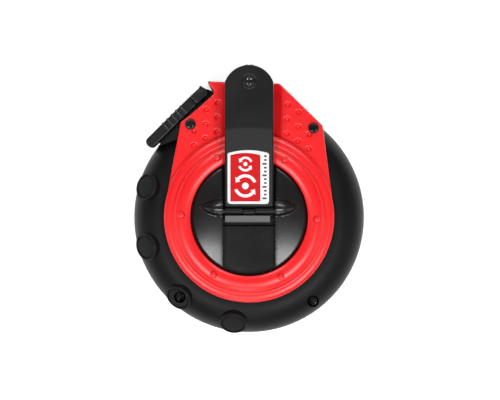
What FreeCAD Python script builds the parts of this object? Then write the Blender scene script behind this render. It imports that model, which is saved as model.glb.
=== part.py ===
import FreeCAD, Part
import math
import os
import re

import Sketcher

# Chalk line reel, in millimetres, lying on its back. The origin is on the drum's axis at the back face,
# +Z comes out of the red face and +Y points to the mouth.
Vector = FreeCAD.Vector
Rotation = FreeCAD.Rotation
Placement = FreeCAD.Placement
up = Vector(0, 0, 1)

# A value that starts with = is worked out from other sizes.
sizes = {
    # case shells
    "case_radius": 57.5,
    "case_depth": 42,
    "parting": "=case_depth - 20",
    "wall": 2.4,
    "front_rounding": 14,
    "back_rounding": 7,
    "case_top": "=1.165 * case_radius",
    "side_x": "=0.61 * case_radius",
    "side_y": "=0.814 * case_radius",
    "side_slope": 42.5,
    "throat_half": 10.2,
    "axle_boss_radius": 6,
    "axle_boss_height": 8,
    # left shoulder, its nose and the seat of the filler hatch
    "seat_slope": 46.3,
    "seat_distance": "=case_radius - 0.5",
    "seat_top": "=0.537 * case_radius",
    "nose_x": "=0.39 * case_radius",
    "nose_y": "=case_top - 1",
    # filler hatch, measured along the seat
    "hinge_along": "=0.457 * case_radius",
    "hinge_out": 3.9,
    "hatch_thickness": 5.4,
    "hatch_reach": "=0.649 * case_radius",
    "hatch_low": 12,
    "hatch_high": "=case_depth - 2",
    "ear_low": 16.3,
    "ear_high": "=case_depth - 6.3",
    "ear_radius": 3.1,
    "hatch_pin_radius": 1,
    "port_start": "=0.264 * case_radius",
    "port_length": 6.4,
    "port_low": 17,
    "port_high": "=case_depth - 7",
    "port_border": 1.2,
    "rib_count": 5,
    "rib_first": 12,
    "rib_pitch": 3.05,
    "rib_width": 1.3,
    "hatch_corner": 2,
    "rib_height": 0.4,
    # red face plate; heights are above its underside
    "plate_thickness": 2.5,
    "foot_x": "=ring_outer - 0.6",
    "foot_y": 6.9,
    "notch_x": "=0.343 * case_radius",
    "notch_y": "=case_top - 6.5",
    "channel_half": 14.5,
    "ring_outer": "=hub_radius + 13.5",
    "groove_radius": "=ring_outer - 5.5",
    "groove_width": 0.5,
    "groove_depth": 0.6,
    "ring_inner": "=hub_radius + 0.4",
    "band_edge": 2,
    "band_height": 6.3,
    "band_round": 5.5,
    "bulge_foot": 6.2,
    "bulge_round": 3.8,
    "lip_height": 7,
    "lip_under": 2.3,
    "dome_radius": 2,
    "dome_center": 7.6,
    "dome_ring": "=ring_inner + 4.3",
    "dome_count": 6,
    "dimple_radius": 1.4,
    "dimple_depth": 1,
    "dimple_x": "=0.303 * case_radius",
    "dimple_y": "=0.73 * case_radius",
    "dimple_dx": 5.6,
    "dimple_dy": 7.2,
    # screws
    "screw_head_radius": 2.65,
    "screw_head_height": 1.9,
    "screw_radius": 1.5,
    "cross_size": 1,
    "case_screw_length": 22,
    "plate_screw_length": 34,
    "post_radius": 3.2,
    "upper_screw_x": "=0.533 * case_radius",
    "upper_screw_y": "=0.788 * case_radius",
    "lower_screw_x": "=0.578 * case_radius",
    "lower_screw_y": "=0.711 * case_radius",
    "sunk_head_seat": "=case_depth - 11",
    "lower_post_radius": 4.2,
    # grip pads
    "pad_radius": 7,
    "pad_ring": "=case_radius - 3.8",
    "pad_height": "=case_depth - 3.7",
    "pad_thickness": 1.9,
    "pad_proud": 1,
    "pad_rim": 0.8,
    "pad_groove": 0.4,
    "pad_seat_border": 0.5,
    "pad_start": 165.2,
    "pad_pitch": 32.7,
    "pad_count": 4,
    # clearances
    "running": 0.05,
    "free_gap": 0.3,
    # crank hub
    "crank_turn": 1.8,
    "hub_bottom": "=case_depth - 1.5",
    "hub_radius": 28.8,
    "flange_radius": "=hub_radius + 2.2",
    "flange_thickness": 1.7,
    "hub_edge": "=case_depth + 4.4",
    "hub_edge_round": 2,
    "hub_top": "=case_depth + 9",
    "hub_floor": "=case_depth + 2.6",
    "slot_half": 13,
    "hinge_y": 3,
    "hinge_z": "=case_depth + 9",
    "hinge_pin_radius": 1.2,
    "pin_grip": 4.5,
    "wing_tip_x": "=hub_radius - 4.2",
    "wing_tip_y": 7.2,
    "wing_low": 0.9,
    "wing_high": 9.05,
    "wing_top": "=case_depth + 11.5",
    "wing_curve": 20,
    # crank arm
    "arm_width": 24.1,
    "arm_thickness": 3.6,
    "arm_tip": "=case_top + 8.45",
    "tip_radius": 12.7,
    "bend_y": "=ring_outer + 2",
    "arm_top": "=case_depth + 16.3",
    "arm_root_top": "=case_depth + 11.3",
    "arm_root_bottom": "=case_depth + 6.9",
    "heel_y": 2.6,
    "heel_top_y": 0.75,
    "heel_drop": 1.9,
    "barrel_radius": 1.7,
    "barrel_groove": 1.3,
    # label on the arm
    "label_left": 10.65,
    "label_right": 9.85,
    "label_low": 6.65,
    "label_high": 33.3,
    "label_crown": 2,
    "label_thickness": 0.2,
    # knob
    "rivet_y": "=arm_tip - 8.4",
    "rivet_head_radius": 3.1,
    "rivet_head_height": 1.2,
    "rivet_radius": 2,
    "rivet_foot_radius": 3.3,
    "knob_radius": 9,
    "knob_height": 8.2,
    "knob_rounding": 2,
    "knob_waist": 1,
    "knob_socket": 1.8,
    # axle and spool
    "axle_radius": 2.5,
    "axle_seat": 1,
    "axle_top": "=case_depth + 1",
    "spool_low": 3.6,
    "spool_high": "=case_depth - 15.6",
    "flange_disc": 1.8,
    "spool_radius": "=case_radius - 11.5",
    "core_radius": 14,
    "spigot_radius": 4.5,
    "spigot_depth": 3,
    "winding_radius": "=spool_radius - 8",
    # gears
    "gear_module": "=(collar_radius - gear_cup_wall - 0.075) / 28.25",
    "pressure_angle": 20,
    "sun_teeth": 18,
    "planet_teeth": 18,
    "backlash": 0.16,
    "gear_low": "=case_depth - 10.6",
    "gear_width": 6.3,
    "gear_cup_top": "=case_depth - 3.5",
    "gear_cup_wall": 2,
    "stub_radius": 5.5,
    "planet_count": 3,
    "planet_pin_radius": 1.5,
    "peg_radius": 2,
    "peg_ring": 20,
    "peg_height": 1.6,
    # carrier plate under the front case's collar
    "collar_radius": "=flange_radius - 3.5",
    "collar_wall": 5,
    "collar_bottom": "=case_depth - 11",
    "carrier_thickness": 2.5,
    "carrier_screw_radius": 1,
    "carrier_screw_head": 1.9,
    "carrier_head_height": 1.5,
    "carrier_screw_length": 6,
    "seal_outer": "=collar_radius - 1.5",
    "seal_thickness": 1.8,
    # mouth
    "ferrule_radius": 4,
    "ferrule_bore": 3,
    "ferrule_flange": 5.2,
    "ferrule_length": 5,
    "ferrule_rim": 0.8,
    "line_hole": 0.9,
}

doc = FreeCAD.newDocument("chalk_line_reel")
sheet = doc.addObject("Spreadsheet::Sheet", "sizes")
for row, name in enumerate(sizes, start=1):
    sheet.set(f"A{row}", name)
    sheet.setAlias(f"B{row}", name)
for row, content in enumerate(sizes.values(), start=1):
    sheet.set(f"B{row}", str(content))
doc.recompute()

parts = []


def value(expression):
    return float(sheet.evalExpression(str(expression)))


def named(expression):
    # put the sheet's name before each size in an expression
    def prefix(word):
        return "sizes." + word.group() if word.group() in sizes else word.group()
    return re.sub(r"[a-z]\w*", prefix, str(expression))


def bind(thing, **expressions):
    for field, expression in expressions.items():
        thing.setExpression(field.replace("__", "."), named(expression))
    return thing


def constrain(sketch, constraint, expression):
    index = sketch.addConstraint(constraint)
    if re.search(r"[a-z]", str(expression)):
        sketch.setExpression(f"Constraints[{index}]", named(expression))


def place_point(sketch, curve, end, x, y):
    constrain(sketch, Sketcher.Constraint("DistanceX", curve, end, value(x)), x)
    constrain(sketch, Sketcher.Constraint("DistanceY", curve, end, value(y)), y)


def draw_circle(sketch, x, y, radius):
    circle = Part.Circle(Vector(value(x), value(y), 0), up, value(radius))
    index = sketch.addGeometry(circle, False)
    place_point(sketch, index, 3, x, y)
    constrain(sketch, Sketcher.Constraint("Radius", index, value(radius)), radius)


def draw_loop(sketch, corners):
    # corners are (x, y) for a straight edge to the next corner, or (x, y, radius, side) for an arc
    # that bulges to the left of the way for side 1 and to the right for side -1
    first = sketch.GeometryCount
    count = len(corners)
    for index, corner in enumerate(corners):
        following = corners[(index + 1) % count]
        start = Vector(value(corner[0]), value(corner[1]), 0)
        end = Vector(value(following[0]), value(following[1]), 0)
        if len(corner) == 2:
            sketch.addGeometry(Part.LineSegment(start, end), False)
            continue
        chord = end - start
        radius = value(corner[2])
        rise = radius - math.sqrt(radius ** 2 - (chord.Length / 2) ** 2)
        left = Vector(-chord.y, chord.x, 0).normalize()
        middle = (start + end) / 2 + left * rise * corner[3]
        sketch.addGeometry(Part.Arc(start, middle, end), False)
    ends = []
    for index, corner in enumerate(corners):
        # an arc that bulges left runs clockwise, and is stored from its far end
        ends.append((2, 1) if len(corner) > 2 and corner[3] > 0 else (1, 2))
    for index, corner in enumerate(corners):
        after = (index + 1) % count
        here = (first + index, ends[index][1])
        there = (first + after, ends[after][0])
        sketch.addConstraint(Sketcher.Constraint("Coincident", *here, *there))
        place_point(sketch, first + index, ends[index][0], corner[0], corner[1])
        if len(corner) > 2:
            radius = Sketcher.Constraint("Radius", first + index, value(corner[2]))
            constrain(sketch, radius, corner[2])


def origin_feature(body, role):
    return next(feature for feature in body.Origin.OriginFeatures if feature.Role == role)


def new_body(label):
    body = doc.addObject("PartDesign::Body", label)
    body.Label = label
    return body


def keep(thing, label=None):
    if label:
        thing.Label = label
    parts.append(thing)
    return thing


def outline(body, loops, plane="XY_Plane", offset=0):
    sketch = body.newObject("Sketcher::SketchObject", body.Name + "_outline")
    sketch.AttachmentSupport = [(origin_feature(body, plane), "")]
    sketch.MapMode = "FlatFace"
    sketch.setExpression("AttachmentOffset.Base.z", named(offset))
    for loop in loops:
        if loop[0] == "circle":
            draw_circle(sketch, *loop[1:])
        else:
            draw_loop(sketch, loop)
    return sketch


def pad(body, loops, low, high):
    feature = body.newObject("PartDesign::Pad", body.Name + "_pad")
    feature.Profile = outline(body, loops, offset=low)
    bind(feature, Length=f"({high}) - ({low})")
    return feature


def pocket(body, loops, low, high):
    # cut from the height low up to the height high
    feature = body.newObject("PartDesign::Pocket", body.Name + "_pocket")
    feature.Profile = outline(body, loops, offset=high)
    bind(feature, Length=f"({high}) - ({low})")
    return feature


def cut_across(body, loops, width):
    # cut a side profile (y, z) through the given width, equally to both sides
    feature = body.newObject("PartDesign::Pocket", body.Name + "_cross_cut")
    feature.Profile = outline(body, loops, plane="YZ_Plane")
    feature.Midplane = True
    bind(feature, Length=width)
    return feature


def pad_across(body, loops, width):
    # a side profile (y, z) as wide as given, equally to both sides
    feature = body.newObject("PartDesign::Pad", body.Name + "_cross_pad")
    feature.Profile = outline(body, loops, plane="YZ_Plane")
    feature.Midplane = True
    bind(feature, Length=width)
    return feature


def revolve(body, loops, kind="Revolution"):
    feature = body.newObject("PartDesign::" + kind, body.Name + "_turned")
    sketch = outline(body, loops, plane="XZ_Plane")
    feature.Profile = sketch
    feature.ReferenceAxis = (sketch, ["V_Axis"])
    feature.Angle = 360
    return feature


def around(body, feature, count, step=None):
    pattern = body.newObject("PartDesign::PolarPattern", body.Name + "_around")
    pattern.Originals = [feature]
    pattern.Axis = (origin_feature(body, "Z_Axis"), [""])
    bind(pattern, Occurrences=count)
    pattern.Angle = 360
    if step:
        bind(pattern, Angle=f"({step}) * (({count}) - 1)")
    body.Tip = pattern
    return pattern


def crank_placement(thing):
    thing.Placement = Placement(Vector(), Rotation(up, value("crank_turn")))
    thing.setExpression("Placement.Rotation.Angle", named("crank_turn"))


def on_seat(along, out):
    # a point of the left shoulder: along its slanted seat towards the top, and out from the drum's axis
    x = f"({along}) * cos(seat_slope) - ({out}) * sin(seat_slope)"
    y = f"({along}) * sin(seat_slope) + ({out}) * cos(seat_slope)"
    return x, y


def seat_box(start, end, low, high):
    return [on_seat(start, low), on_seat(end, low), on_seat(end, high), on_seat(start, high)]


# Outline of the two shoulders. The right one is measured in x and y, and the left one has the
# hatch's flat seat and the pointed nose above its hinge.
seat_foot = "-sqrt(case_radius ^ 2 - seat_distance ^ 2)"
horn_x = "side_x - (case_top - side_y) / tan(side_slope)"
throat_floor = "spool_radius + wall"
hinge_line = "seat_distance + hinge_out"

right_shoulder = [
    ("throat_half", throat_floor),
    ("side_x", "side_y"),
    (horn_x, "case_top"),
    ("throat_half", "case_top"),
]
left_shoulder = [
    ("-nose_x", "nose_y"),
    ("-nose_x", "case_top"),
    ("-throat_half", "case_top"),
    ("-throat_half", throat_floor),
    on_seat(seat_foot, "seat_distance"),
    on_seat("seat_top", "seat_distance"),
]
cavity_radius = "case_radius - wall"
inner_side = ("side_x - wall * sin(side_slope)", "side_y - wall * cos(side_slope)")
inner_wall_x = "throat_half + wall"
inner_peak = f"{inner_side[1]} + ({inner_side[0]} - ({inner_wall_x})) * tan(side_slope)"
right_hollow = [
    (inner_wall_x, throat_floor),
    ("side_x - 2 * wall", "side_y - 3 * wall"),
    inner_side,
    (inner_wall_x, inner_peak),
]
left_hollow = [
    (f"-({inner_wall_x})", throat_floor),
    on_seat("0", "seat_distance - wall"),
    on_seat("seat_top - 2 * wall", "seat_distance - wall"),
    (f"-({inner_wall_x})", "nose_y - wall"),
]
hinge_place = on_seat("hinge_along", hinge_line)
port_end = "port_start + port_length"
port = seat_box("port_start", port_end, "seat_distance - 2 * wall", "seat_distance + wall")
ear_crest = on_seat("hinge_along + ear_radius * sin(30)", f"{hinge_line} + ear_radius * cos(30)")
ear = [
    on_seat("seat_top", "seat_distance - wall / 2"),
    on_seat("seat_top", "seat_distance + hinge_out / 3"),
    (*ear_crest, "ear_radius", 1),
    on_seat("hinge_along - ear_radius", hinge_line),
    on_seat("hinge_along - ear_radius", "seat_distance - wall / 2"),
]
upper_screws = [("upper_screw_x", "upper_screw_y"), ("-upper_screw_x", "upper_screw_y")]
lower_screws = [("lower_screw_x", "-lower_screw_y"), ("-lower_screw_x", "-lower_screw_y")]


def circles(places, radius):
    return [("circle", x, y, radius) for x, y in places]


def shell(label, rounding, end, rim, side):
    # half of the case without its shoulders: a drum from its closed end to the open rim, whose rounded
    # corner and hollow follow each other, with the lower screw posts trimmed to the outside
    body = new_body(label)
    bend = f"({end}) + ({side}) * {rounding}"
    corner = [(f"case_radius - {rounding}", end, rounding, -side), ("case_radius", bend)]
    revolve(body, [[("0", end), *corner, ("case_radius", rim), ("0", rim)]])
    inner_face = f"({end}) + ({side}) * wall"
    hollow = [
        ("0", inner_face),
        (f"case_radius - {rounding}", inner_face, f"{rounding} - wall", -side),
        (cavity_radius, bend),
        (cavity_radius, rim),
        ("0", rim),
    ]
    revolve(body, [hollow], kind="Groove")
    low, high = sorted([rim, inner_face], key=value)
    pad(body, circles(lower_screws, "lower_post_radius"), low, high)
    beyond_x = "case_radius + 2 * wall"
    beyond_z = f"({end}) - ({side}) * wall"
    outside = [
        *corner,
        ("case_radius", rim),
        (beyond_x, rim),
        (beyond_x, beyond_z),
        (f"case_radius - {rounding}", beyond_z),
    ]
    revolve(body, [outside], kind="Groove")
    return body


def add_shoulders(body, low, high, hollow_low, hollow_high):
    pad(body, [right_shoulder, left_shoulder], low, high)
    pocket(body, [right_hollow, left_hollow], hollow_low, hollow_high)
    pad(body, circles(upper_screws, "post_radius"), hollow_low, hollow_high)


def cut_seat_details(body, low, high):
    # the hatch's ear with its pin bore, and the filler port in the seat, between two heights
    ear_start = max(low, "ear_low", key=value)
    ear_end = min(high, "ear_high", key=value)
    pad(body, [ear], ear_start, ear_end)
    pocket(body, [("circle", *hinge_place, "hatch_pin_radius + running")], ear_start, ear_end)
    pocket(body, [port], max(low, "port_low", key=value), min(high, "port_high", key=value))


def cut_mouth(body):
    # the ferrule's bore, along Y through the wall under the throat, on the line where the shells meet
    feature = body.newObject("PartDesign::Pocket", body.Name + "_mouth")
    feature.Profile = outline(body, [("circle", "0", "parting", "ferrule_radius")], plane="XZ_Plane")
    bind(feature, Length="case_radius + wall")
    return feature


def seat_cylinder(body, kind, radius, low, high):
    # a cylinder square to the front rim at 45 degrees; low and high are along its axis, from the pads' face
    feature = body.newObject("PartDesign::" + kind, body.Name + "_seat")
    feature.AttachmentSupport = [(origin_feature(body, "XY_Plane"), "")]
    feature.MapMode = "FlatFace"
    tilt = Rotation(up, value("pad_start")).multiply(Rotation(Vector(0, 1, 0), 45))
    feature.AttachmentOffset = Placement(Vector(), tilt)
    reach = f"(pad_ring + ({low}) * cos(45))"
    bind(
        feature,
        AttachmentOffset__Base__x=f"{reach} * cos(pad_start)",
        AttachmentOffset__Base__y=f"{reach} * sin(pad_start)",
        AttachmentOffset__Base__z=f"pad_height + ({low}) * sin(45)",
        Radius=radius,
        Height=f"({high}) - ({low})",
    )
    return feature


# Back shell
rear = shell("rear_case", "back_rounding", "0", "parting", 1)
add_shoulders(rear, "0", "parting", "wall", "parting")
cut_seat_details(rear, "wall", "parting")
pad(rear, [("circle", "0", "0", "axle_boss_radius")], "wall / 2", "axle_boss_height")
pocket(rear, [("circle", "0", "0", "axle_radius + running")], "axle_seat", "axle_boss_height")
plate_top = "case_depth + plate_thickness"
pocket(rear, circles(lower_screws, "screw_radius + running"), "sunk_head_seat - case_screw_length", "parting")
pocket(rear, circles(upper_screws, "screw_radius + running"), f"{plate_top} - plate_screw_length", "parting")
cut_mouth(rear)
keep(rear)

# Front shell: the seats of the grip pads, the block under the red plate and the collar of the gears
front = shell("front_case", "front_rounding", "case_depth", "parting", -1)
front_face = "case_depth - wall"
seat_radius = "pad_radius + pad_seat_border"
seats = seat_cylinder(front, "AdditiveCylinder", seat_radius, "-1.6 * pad_thickness", "-pad_proud")
around(front, seats, "pad_count", "pad_pitch")
recess = seat_cylinder(front, "SubtractiveCylinder", "pad_radius", "-pad_thickness", "pad_thickness")
around(front, recess, "pad_count", "pad_pitch")
block = [
    ("-foot_x", "foot_y"),
    ("foot_x", "foot_y"),
    ("side_x", "side_y"),
    ("throat_half", throat_floor),
    ("-throat_half", throat_floor),
    ("-side_x", "side_y"),
]
inner_block = [
    ("-foot_x + wall", "foot_y + wall"),
    ("foot_x - wall", "foot_y + wall"),
    inner_side,
    (f"-({inner_side[0]})", inner_side[1]),
]
pad(front, [block], "collar_bottom", "case_depth")
pocket(front, [inner_block], "collar_bottom", front_face)
add_shoulders(front, "parting", "case_depth", "parting", front_face)
cut_seat_details(front, "parting", "case_depth")
pad(front, [("circle", "0", "0", "collar_radius + collar_wall")], "collar_bottom", "case_depth")
pocket(front, [("circle", "0", "0", "collar_radius")], "parting", "case_depth")
pocket(front, circles(lower_screws, "screw_head_radius + free_gap"), "sunk_head_seat", "case_depth")
pocket(front, circles(lower_screws + upper_screws, "screw_radius + running"), "parting", "case_depth")
cut_mouth(front)
keep(front)


def mirrored(loop):
    return [(f"-({corner[0]})", *corner[1:]) for corner in reversed(loop)]


# Red face plate: two flat shoulders and a ring with a convex band, a groove and a convex inner bulge
plate = new_body("face_plate")
lip_x = "flange_radius + free_gap"
groove_floor = "case_depth + band_height - groove_depth"
ring_profile = [
    (lip_x, "case_depth"),
    ("ring_outer", "case_depth"),
    ("ring_outer", "case_depth + band_edge", "band_round", -1),
    ("groove_radius + groove_width / 2", "case_depth + band_height"),
    ("groove_radius + groove_width / 2", groove_floor),
    ("groove_radius - groove_width / 2", groove_floor),
    ("groove_radius - groove_width / 2", "case_depth + bulge_foot", "bulge_round", -1),
    ("ring_inner + groove_width", "case_depth + lip_height"),
    ("ring_inner", "case_depth + lip_height - groove_width"),
    ("ring_inner", "case_depth + lip_under"),
    (lip_x, "case_depth + lip_under"),
]
revolve(plate, [ring_profile])
right_plate = [
    ("throat_half", "groove_radius"),
    ("foot_x", "foot_y"),
    ("side_x", "side_y"),
    (horn_x, "case_top"),
    ("throat_half", "case_top"),
]
left_plate = [
    ("-throat_half", "groove_radius"),
    ("-throat_half", "case_top"),
    ("-nose_x", "case_top"),
    ("-nose_x", "nose_y"),
    ("-notch_x", "notch_y"),
    ("-side_x", "side_y"),
    ("-foot_x", "foot_y"),
]
pad(plate, [right_plate, left_plate], "case_depth", plate_top)
bevel = [
    ("throat_half - wall", "case_depth"),
    ("throat_half", "case_depth"),
    ("channel_half", plate_top),
    ("channel_half", f"{plate_top} + wall"),
    ("throat_half - wall", f"{plate_top} + wall"),
]
bevel_cut = plate.newObject("PartDesign::Pocket", "channel_bevel")
bevel_cut.Profile = outline(plate, [bevel, mirrored(bevel)], plane="XZ_Plane", offset="-ring_outer")
bind(bevel_cut, Length="case_top - ring_outer + wall")
dimples = []
for column, row_count in enumerate((3, 3, 2)):
    for row in range(row_count):
        x = f"dimple_x + {column} * dimple_dx"
        y = f"dimple_y + ({row} - {column} / 2) * dimple_dy"
        dimples += [(x, y), (f"-({x})", y)]
pocket(plate, circles(dimples, "dimple_radius"), f"{plate_top} - dimple_depth", plate_top)
pocket(plate, circles(upper_screws, "screw_radius + running"), "case_depth", plate_top)
dome = plate.newObject("PartDesign::AdditiveSphere", "ring_dome")
dome.AttachmentSupport = [(origin_feature(plate, "XY_Plane"), "")]
dome.MapMode = "FlatFace"
dome_height = "case_depth + dome_center"
bind(dome, Radius="dome_radius")
bind(dome, AttachmentOffset__Base__x="dome_ring", AttachmentOffset__Base__z=dome_height)
around(plate, dome, "dome_count")
keep(plate)

# Crank hub: a crowned disc whose flange runs under the ring's lip, with the arm's slot across it
hub = new_body("crank_hub")
flange_low = "case_depth + lip_under - free_gap - flange_thickness"
flange_high = "case_depth + lip_under - free_gap"
shoulder_x = "hub_radius - hub_edge_round * 0.8"
shoulder_z = "hub_edge + hub_edge_round * 0.9"
crown_rise = f"(hub_top - ({shoulder_z}))"
crown_radius = f"(({shoulder_x}) ^ 2 + {crown_rise} ^ 2) / (2 * {crown_rise})"
hub_profile = [
    ("0", "hub_bottom"),
    ("collar_radius - free_gap", "hub_bottom"),
    ("collar_radius - free_gap", flange_low),
    ("flange_radius", flange_low),
    ("flange_radius", flange_high),
    ("hub_radius", flange_high),
    ("hub_radius", "hub_edge", "hub_edge_round", -1),
    (shoulder_x, shoulder_z, crown_radius, -1),
    ("0", "hub_top"),
]
revolve(hub, [hub_profile])
slot_end = "hub_radius + wall"
slot = [
    ("-slot_half", f"-({slot_end})"),
    ("slot_half", f"-({slot_end})"),
    ("slot_half", slot_end),
    ("-slot_half", slot_end),
]
pocket(hub, [slot], "hub_floor", "hub_top + wall")
wing = [
    ("slot_half", "wing_low", "wing_curve", -1),
    ("wing_tip_x", "wing_tip_y", "wing_curve", -1),
    ("slot_half", "wing_high"),
]
left_wing = [
    ("-slot_half", "wing_high", "wing_curve", -1),
    ("-wing_tip_x", "wing_tip_y", "wing_curve", -1),
    ("-slot_half", "wing_low"),
]
pad(hub, [wing, left_wing], "hub_floor", "wing_top")
pin_bore = [("circle", "hinge_y", "hinge_z", "hinge_pin_radius + running")]
cut_across(hub, pin_bore, "2 * (slot_half + pin_grip)")
pocket(hub, [("circle", "0", "0", "axle_radius + running")], "hub_bottom", "axle_top + free_gap")
peg_bore = [("circle", "peg_ring", "0", "peg_radius + running")]
peg_hole = pocket(hub, peg_bore, "hub_bottom", "hub_bottom + peg_height + running")
around(hub, peg_hole, "planet_count")
crank_placement(hub)
keep(hub)

pin = new_body("hinge_pin")
pin_length = "2 * (slot_half + pin_grip - running)"
pad_across(pin, [("circle", "hinge_y", "hinge_z", "hinge_pin_radius")], pin_length)
crank_placement(pin)
keep(pin)

# Crank arm: rises from its hinge to a flat end, with the hinge's barrel lying in a groove across it
arm = new_body("crank_arm")
root_y = "hinge_y + barrel_radius + free_gap"
barrel_z = "arm_root_top - barrel_groove"
arm_side = [
    ("-heel_y", "arm_root_bottom"),
    (root_y, "arm_root_bottom"),
    ("bend_y + wall / 2", "arm_top - arm_thickness"),
    ("arm_tip", "arm_top - arm_thickness"),
    ("arm_tip", "arm_top"),
    ("bend_y", "arm_top"),
    (root_y, "arm_root_top"),
    (root_y, barrel_z),
    ("hinge_y + barrel_radius", barrel_z, "barrel_radius * 1.15", -1),
    ("hinge_y - barrel_radius", barrel_z),
    ("heel_top_y", "arm_root_top"),
    ("-heel_y", "arm_root_top - heel_drop"),
]
pad_across(arm, [arm_side], "arm_width")
half_width = "arm_width / 2"
arch_y = f"arm_tip - tip_radius + sqrt(tip_radius ^ 2 - ({half_width}) ^ 2)"
beyond = "arm_tip + wall"
tip_trim = [
    (half_width, arch_y, "tip_radius", -1),
    (f"-({half_width})", arch_y),
    (f"-({half_width}) - wall", arch_y),
    (f"-({half_width}) - wall", beyond),
    (f"{half_width} + wall", beyond),
    (f"{half_width} + wall", arch_y),
]
pocket(arm, [tip_trim], "arm_root_bottom", "arm_top")
cut_across(arm, pin_bore, "arm_width")
pocket(arm, [("circle", "0", "rivet_y", "rivet_radius + running")], "arm_root_bottom", "arm_top")
crank_placement(arm)
keep(arm)

# Label on the arm's slope: a thin sheet with an arched upper edge
label = new_body("arm_label")
slope = f"atan2(arm_top - arm_root_top; bend_y - ({root_y}))"
slope_low = f"(label_low - ({root_y})) / cos({slope})"
slope_high = f"(label_high - label_crown - ({root_y})) / cos({slope})"
label_width = "(label_left + label_right)"
label_arch = f"({label_width} ^ 2 / 4 + label_crown ^ 2) / (2 * label_crown)"
label_loop = [
    ("-label_left", slope_low),
    ("label_right", slope_low),
    ("label_right", slope_high, label_arch, -1),
    ("-label_left", slope_high),
]
pad(label, [label_loop], "0", "label_thickness")
tilt = Placement(Vector(0, value(root_y), value("arm_root_top")), Rotation(Vector(1, 0, 0), value(slope)))
label.Placement = Placement(Vector(), Rotation(up, value("crank_turn"))).multiply(tilt)
keep(label)

# Knob under the arm's end, and the rivet that it turns on
knob_top = "arm_top - arm_thickness - free_gap"
knob_bottom = f"{knob_top} - knob_height"
knob = new_body("knob")
knob_profile = [
    ("rivet_radius + 2 * running", knob_top),
    ("rivet_radius + 2 * running", f"{knob_bottom} + knob_socket"),
    ("rivet_foot_radius + free_gap", f"{knob_bottom} + knob_socket"),
    ("rivet_foot_radius + free_gap", knob_bottom),
    ("knob_radius - knob_rounding", knob_bottom, "knob_rounding", -1),
    ("knob_radius", f"{knob_bottom} + knob_rounding"),
    ("knob_radius - knob_waist", f"{knob_top} - knob_rounding", "knob_rounding", -1),
    ("knob_radius - knob_waist - knob_rounding", knob_top),
]
revolve(knob, [knob_profile])
rivet = new_body("knob_rivet")
head_arch = "(rivet_head_radius ^ 2 + rivet_head_height ^ 2) / (2 * rivet_head_height)"
rivet_profile = [
    ("0", f"{knob_bottom} + free_gap"),
    ("rivet_foot_radius", f"{knob_bottom} + free_gap"),
    ("rivet_foot_radius", f"{knob_bottom} + knob_socket - free_gap"),
    ("rivet_radius", f"{knob_bottom} + knob_socket - free_gap"),
    ("rivet_radius", "arm_top"),
    ("rivet_head_radius", "arm_top", head_arch, -1),
    ("0", "arm_top + rivet_head_height"),
]
revolve(rivet, [rivet_profile])
for thing in (knob, rivet):
    thing.Placement = Placement(Vector(), Rotation(up, value("crank_turn")))
    bind(
        thing,
        Placement__Base__x="-rivet_y * sin(crank_turn)",
        Placement__Base__y="rivet_y * cos(crank_turn)",
        Placement__Rotation__Angle="crank_turn",
    )
    keep(thing)

# Filler hatch: a ribbed lever on the left shoulder, whose two knuckles straddle the case's ear
hatch = new_body("filler_hatch")
hatch_under = f"{hinge_line} - hatch_thickness / 2"
hatch_over = f"{hinge_line} + hatch_thickness / 2"
hatch_end = "hinge_along - hatch_reach"
hatch_loop = [
    (*on_seat("hinge_along", hatch_under), "hatch_thickness / 2", -1),
    (*on_seat("hinge_along + hatch_thickness / 2", hinge_line), "hatch_thickness / 2", -1),
    on_seat("hinge_along", hatch_over),
    (*on_seat(f"{hatch_end} + hatch_corner", hatch_over), "hatch_corner", -1),
    on_seat(hatch_end, f"{hatch_over} - hatch_corner"),
    (*on_seat(hatch_end, f"{hatch_under} + hatch_corner"), "hatch_corner", -1),
    on_seat(f"{hatch_end} + hatch_corner", hatch_under),
]
pad(hatch, [hatch_loop], "hatch_low", "hatch_high")
ribs = []
for index in range(int(value("rib_count"))):
    rib_start = f"hinge_along - rib_first - {index} * rib_pitch"
    rib_end = f"{rib_start} - rib_width"
    ribs.append(seat_box(rib_end, rib_start, f"{hatch_over} - rib_width", f"{hatch_over} + rib_height"))
pad(hatch, ribs, "hatch_low + rib_width", "hatch_high - rib_width")
ear_room = seat_box(
    "hinge_along - ear_radius - 2 * free_gap",
    "hinge_along + 2 * ear_radius",
    f"{hatch_under} - wall",
    f"{hatch_over} + wall",
)
pocket(hatch, [ear_room], "ear_low - free_gap", "ear_high + free_gap")
pocket(hatch, [("circle", *hinge_place, "hatch_pin_radius + running")], "hatch_low", "hatch_high")
keep(hatch)

hatch_pin = new_body("hatch_pin")
pad(hatch_pin, [("circle", *hinge_place, "hatch_pin_radius")], "hatch_low", "hatch_high")
keep(hatch_pin)

gasket = new_body("hatch_gasket")
gasket_loop = seat_box(
    "port_start - port_border",
    f"{port_end} + port_border",
    "seat_distance + free_gap / 2",
    hatch_under,
)
pad(gasket, [gasket_loop], "port_low - port_border", "port_high + port_border")
keep(gasket)


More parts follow.
